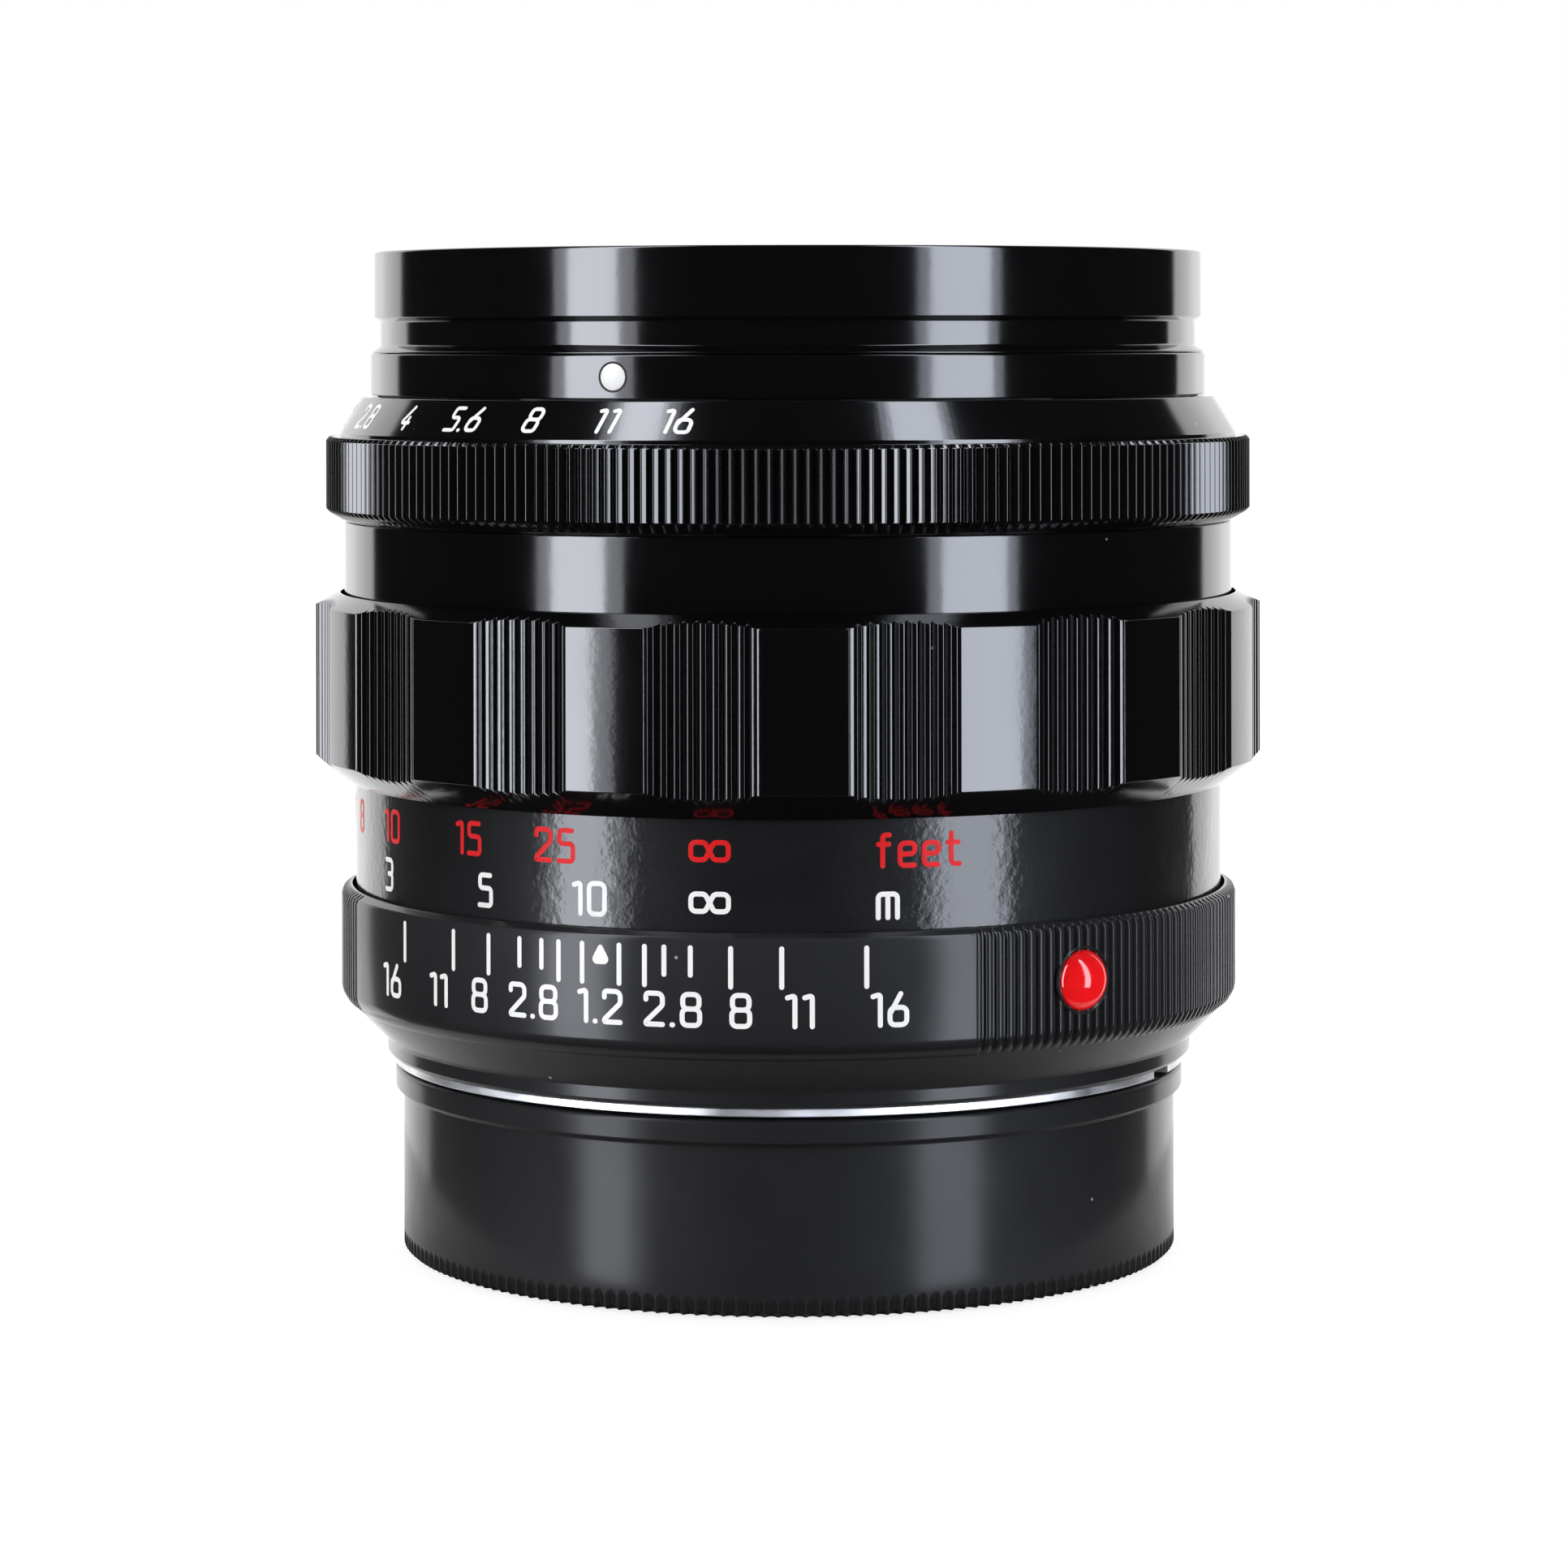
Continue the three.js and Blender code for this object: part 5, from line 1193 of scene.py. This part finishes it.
def aperture_scale():
    _, top, _ = span("aperture_ring")
    marks = {"16": 0, "11": 1, "8": 2, "5.6": 3, "4": 4, "2.8": 5, "2": 6, "1.4": 7, "1.2": 7.5}
    for text, stops in marks.items():
        azimuth = FIRST_STOP - STOP_PITCH * stops - STOP_GROWTH * stops * (stops - 1)
        surface = cone_surface(CONE_FOOT_RADIUS, CONE_FOOT, CONE_TOP_RADIUS, top, azimuth, APERTURE_ROW)
        label = f"aperture_figure_{text.replace('.', '_')}"
        looks = (APERTURE_LETTER_HEIGHT, APERTURE_SLANT, APERTURE_STROKE)
        lettering(label, text, surface, white_paint, "aperture", *looks)


# Iris


def iris_blades():
    """Fine blades in place of the coarse ones, drawn fully open and then swung to the rest setting."""
    middle = (BLADE_INNER + BLADE_OUTER) / 2
    half = (BLADE_OUTER - BLADE_INNER) / 2
    body_span = BLADE_SPAN - math.degrees(half / middle)
    swing = 2 * math.degrees(math.asin((BLADE_INNER - IRIS_CLOSED) / (2 * BLADE_PIVOT)))
    rest = APERTURE_OPENING * swing / APERTURE_TRAVEL
    tab_span = math.degrees(2 * BLADE_TAB / BLADE_OUTER)

    def at(radius, azimuth):
        return np.array(polar(radius, azimuth, 0.0)[:2])

    def tab_arc(centre, azimuth):
        azimuths = [azimuth - 90 + 180 * i / BLADE_TAB_STEPS for i in range(BLADE_TAB_STEPS + 1)]
        return [centre + at(BLADE_TAB, around) for around in azimuths]

    def edge_arc(radius, first, last, steps):
        return [at(radius, first + (last - first) * i / steps) for i in range(steps + 1)]

    pivot, drive = at(BLADE_PIVOT, 0), at(BLADE_PIN, BLADE_PIN_LEAD)
    outline = tab_arc(pivot, 0) + edge_arc(BLADE_OUTER, tab_span, BLADE_PIN_LEAD - tab_span, 4)
    outline += tab_arc(drive, BLADE_PIN_LEAD)
    outline += edge_arc(BLADE_OUTER, BLADE_PIN_LEAD + tab_span, body_span, 24)
    for i in range(1, BLADE_END_STEPS):
        turn = math.pi * i / BLADE_END_STEPS
        azimuth = body_span + (BLADE_SPAN - body_span) * math.sin(turn)
        outline.append(at(middle + half * math.cos(turn), azimuth))
    outline += edge_arc(BLADE_INNER, body_span, 0, 28)
    faces = slab_faces(len(outline))
    for layer in range(BLADE_COUNT):
        foot = BLADE_FOOT + BLADE_PITCH * layer
        azimuth = TURN * layer / BLADE_COUNT
        turn = math.radians(azimuth + rest)
        centre = at(BLADE_PIVOT, azimuth)
        flat = []
        for x, y in (p - pivot for p in outline):
            flat.append((
                centre[0] + x * math.cos(turn) - y * math.sin(turn),
                centre[1] + x * math.sin(turn) + y * math.cos(turn),
            ))
        vertices = [(x, y, height) for height in (foot + BLADE_THICKNESS, foot) for x, y in flat]
        name = f"iris_blade_{layer + 1:02d}"
        made = mesh_object(f"{name}_fine", vertices, faces, blade_steel)
        carry(made, f"blade_{layer + 1:02d}", "blade", name)


# Camera, lights, world and floor


def around_eye(azimuth, distance, height):
    """A point at an azimuth from the camera's side of the lens, in metres."""
    return polar(distance, EYE_AZIMUTH + azimuth, height)


def camera():
    data = bpy.data.cameras.new("camera")
    data.sensor_width = SENSOR
    data.lens = FOCAL_PIXELS / PHOTO_PIXELS * SENSOR
    data.shift_x = (PHOTO_PIXELS / 2 - AXIS_PIXEL) / PHOTO_PIXELS
    data.shift_y = (HORIZON_PIXEL - PHOTO_PIXELS / 2) / PHOTO_PIXELS
    data.clip_start = 0.01
    data.clip_end = 50
    made = bpy.data.objects.new("camera", data)
    made.location = around_eye(0, EYE_DISTANCE * MM, EYE_HEIGHT * MM)
    made.rotation_euler = (math.pi / 2, EYE_ROLL, math.radians(EYE_AZIMUTH))
    bpy.context.scene.collection.objects.link(made)
    bpy.context.scene.camera = made


def lamp(name, width, length, location, rotation, energy, color, glossy):
    """An area lamp that only reflections show, or one that lights the lens without showing in it."""
    data = bpy.data.lights.new(name, "AREA")
    data.shape = "RECTANGLE"
    data.size, data.size_y = width, length
    data.color = color
    data.energy = energy
    made = bpy.data.objects.new(name, data)
    made.location = location
    made.rotation_euler = rotation
    made.visible_camera = False
    made.visible_glossy = glossy
    made.visible_diffuse = not glossy
    bpy.context.scene.collection.objects.link(made)


def softbox(name, azimuth, distance, width, foot, top, radiance, color, glossy):
    """An upright lamp that faces the lens; radiance is what a mirror would show of it."""
    tall = top - foot
    place = around_eye(azimuth, distance, (foot + top) / 2)
    turn = (math.pi / 2, 0, math.radians(EYE_AZIMUTH + azimuth))
    lamp(name, width, tall, place, turn, radiance * math.pi * width * tall, color, glossy)


def lights():
    """Two tall softboxes, each with a bright core and a dimmer edge that show, and fill that doesn't.

    A part has its azimuth, distance, width, foot, top and radiance.
    """
    cool, cooler = (0.888, 0.917, 1.0), (0.83, 0.88, 1.0)
    fill = (0.36, 0.02, 0.7, 2.6)
    boxes = (
        ("left", cool, (-53.4, 0.8, 0.208, -0.3, 2.0, 11.0), (-53.0, 0.82, 0.35, -0.32, 2.05, 4.2)),
        ("right", cooler, (46.95, 0.8, 0.246, -0.3, 2.0, 8.7), (46.7, 0.82, 0.353, -0.32, 2.05, 4.3)),
    )
    for side, tone, core, edge in boxes:
        softbox(f"{side}_core", *core, tone, True)
        softbox(f"{side}_halo", *edge, tone, True)
        softbox(f"{side}_fill", *core[:2], *fill, cool, False)
    lamp("overhead", 0.8, 0.8, (0, 0, 1.1), (0, 0, 0), 5.0, (1, 1, 1), False)


def world():
    """White to the camera; to the lens, dark in front and white behind, as the studio is."""
    made = bpy.data.worlds.new("studio")
    made.use_nodes = True
    bpy.context.scene.world = made
    made.node_tree.nodes.clear()
    nodes = Nodes(made.node_tree)
    direction = nodes.node("ShaderNodeTexCoord").outputs["Generated"]
    flat = nodes.value("ShaderNodeVectorMath", direction, (1.0, 1.0, 0.0), operation="MULTIPLY")
    level = nodes.value("ShaderNodeVectorMath", flat, operation="NORMALIZE")
    behind = around_eye(180, 1.0, 0.0)
    facing = nodes.value("ShaderNodeVectorMath", level, behind, out="Value", operation="DOT_PRODUCT")

    def by_facing(levels, turn):
        return nodes.ramp(facing, *levels, *turn, interpolation_type="SMOOTHSTEP")

    backdrop = by_facing(BACKDROP_LEVELS, BACKDROP_TURN)
    middle = by_facing(MIDDLE_LEVELS, MIDDLE_TURN)
    shown = nodes.value("ShaderNodeMath", backdrop, middle, operation="MULTIPLY")
    path = nodes.node("ShaderNodeLightPath").outputs
    glossy, through = path["Is Glossy Ray"], path["Is Transmission Ray"]
    mirrored = nodes.value("ShaderNodeMath", glossy, through, operation="MAXIMUM")
    white = (1, 1, 1, 1)
    seen = nodes.value("ShaderNodeBackground", white, 1.0)
    reflected = nodes.value("ShaderNodeBackground", white, shown)
    ambient = nodes.value("ShaderNodeBackground", white, by_facing(AMBIENT_LEVELS, AMBIENT_TURN))
    unseen = nodes.value("ShaderNodeMixShader", mirrored, ambient, reflected)
    all_rays = nodes.value("ShaderNodeMixShader", path["Is Camera Ray"], unseen, seen)
    nodes.link(all_rays, nodes.node("ShaderNodeOutputWorld").inputs["Surface"])


def stage_disc(name, radius, height, material):
    """A round sheet of the floor about the lens."""
    corners = [polar(radius, azimuth, 0) for azimuth in evenly(FLOOR_CORNERS)]
    mesh = bpy.data.meshes.new(name)
    mesh.from_pydata(corners, [], [tuple(range(len(corners)))])
    mesh.materials.append(material)
    made = bpy.data.objects.new(name, mesh)
    made.location.z = height
    bpy.context.scene.collection.objects.link(made)
    return made


def floor():
    """Pale floor; only the part close round the cap shows in the lens's own gloss."""
    material = bpy.data.materials.new("floor")
    material.use_nodes = True
    material.node_tree.nodes.clear()
    nodes = Nodes(material.node_tree)
    plain = nodes.value("ShaderNodeBsdfDiffuse", (0.86, 0.86, 0.86, 1))
    shaded = nodes.value("ShaderNodeBsdfDiffuse", (0.35, 0.35, 0.35, 1))
    lit = nodes.value("ShaderNodeEmission", (1, 1, 1, 1), 0.8)
    both = nodes.value("ShaderNodeAddShader", shaded, lit)
    camera_ray = nodes.node("ShaderNodeLightPath").outputs["Is Camera Ray"]
    shown = nodes.value("ShaderNodeMixShader", camera_ray, plain, both)
    nodes.link(shown, nodes.node("ShaderNodeOutputMaterial").inputs["Surface"])
    stage_disc("floor", FLOOR_RADIUS, FLOOR_HEIGHT, material).visible_glossy = False
    near = stage_disc("near_floor", NEAR_FLOOR_RADIUS, NEAR_FLOOR_HEIGHT, material)
    near.location = around_eye(180, NEAR_FLOOR_OFFSET, NEAR_FLOOR_HEIGHT)
    near.visible_camera = False
    near.visible_diffuse = False
    near.visible_shadow = False


camera()
plain_nodes()
rear_cap()
bayonet_flange()
mount_barrel()
index_bead()
focus_ring()
distance_sleeve()
head_barrel()
aperture_ring()
index_ring()
filter_ring()
front_bezel()
glass()
iris_blades()
distance_scale()
depth_scale()
aperture_scale()
floor()
lights()
world()
bpy.context.scene.view_settings.view_transform = "Standard"

bpy.context.view_layer.update()
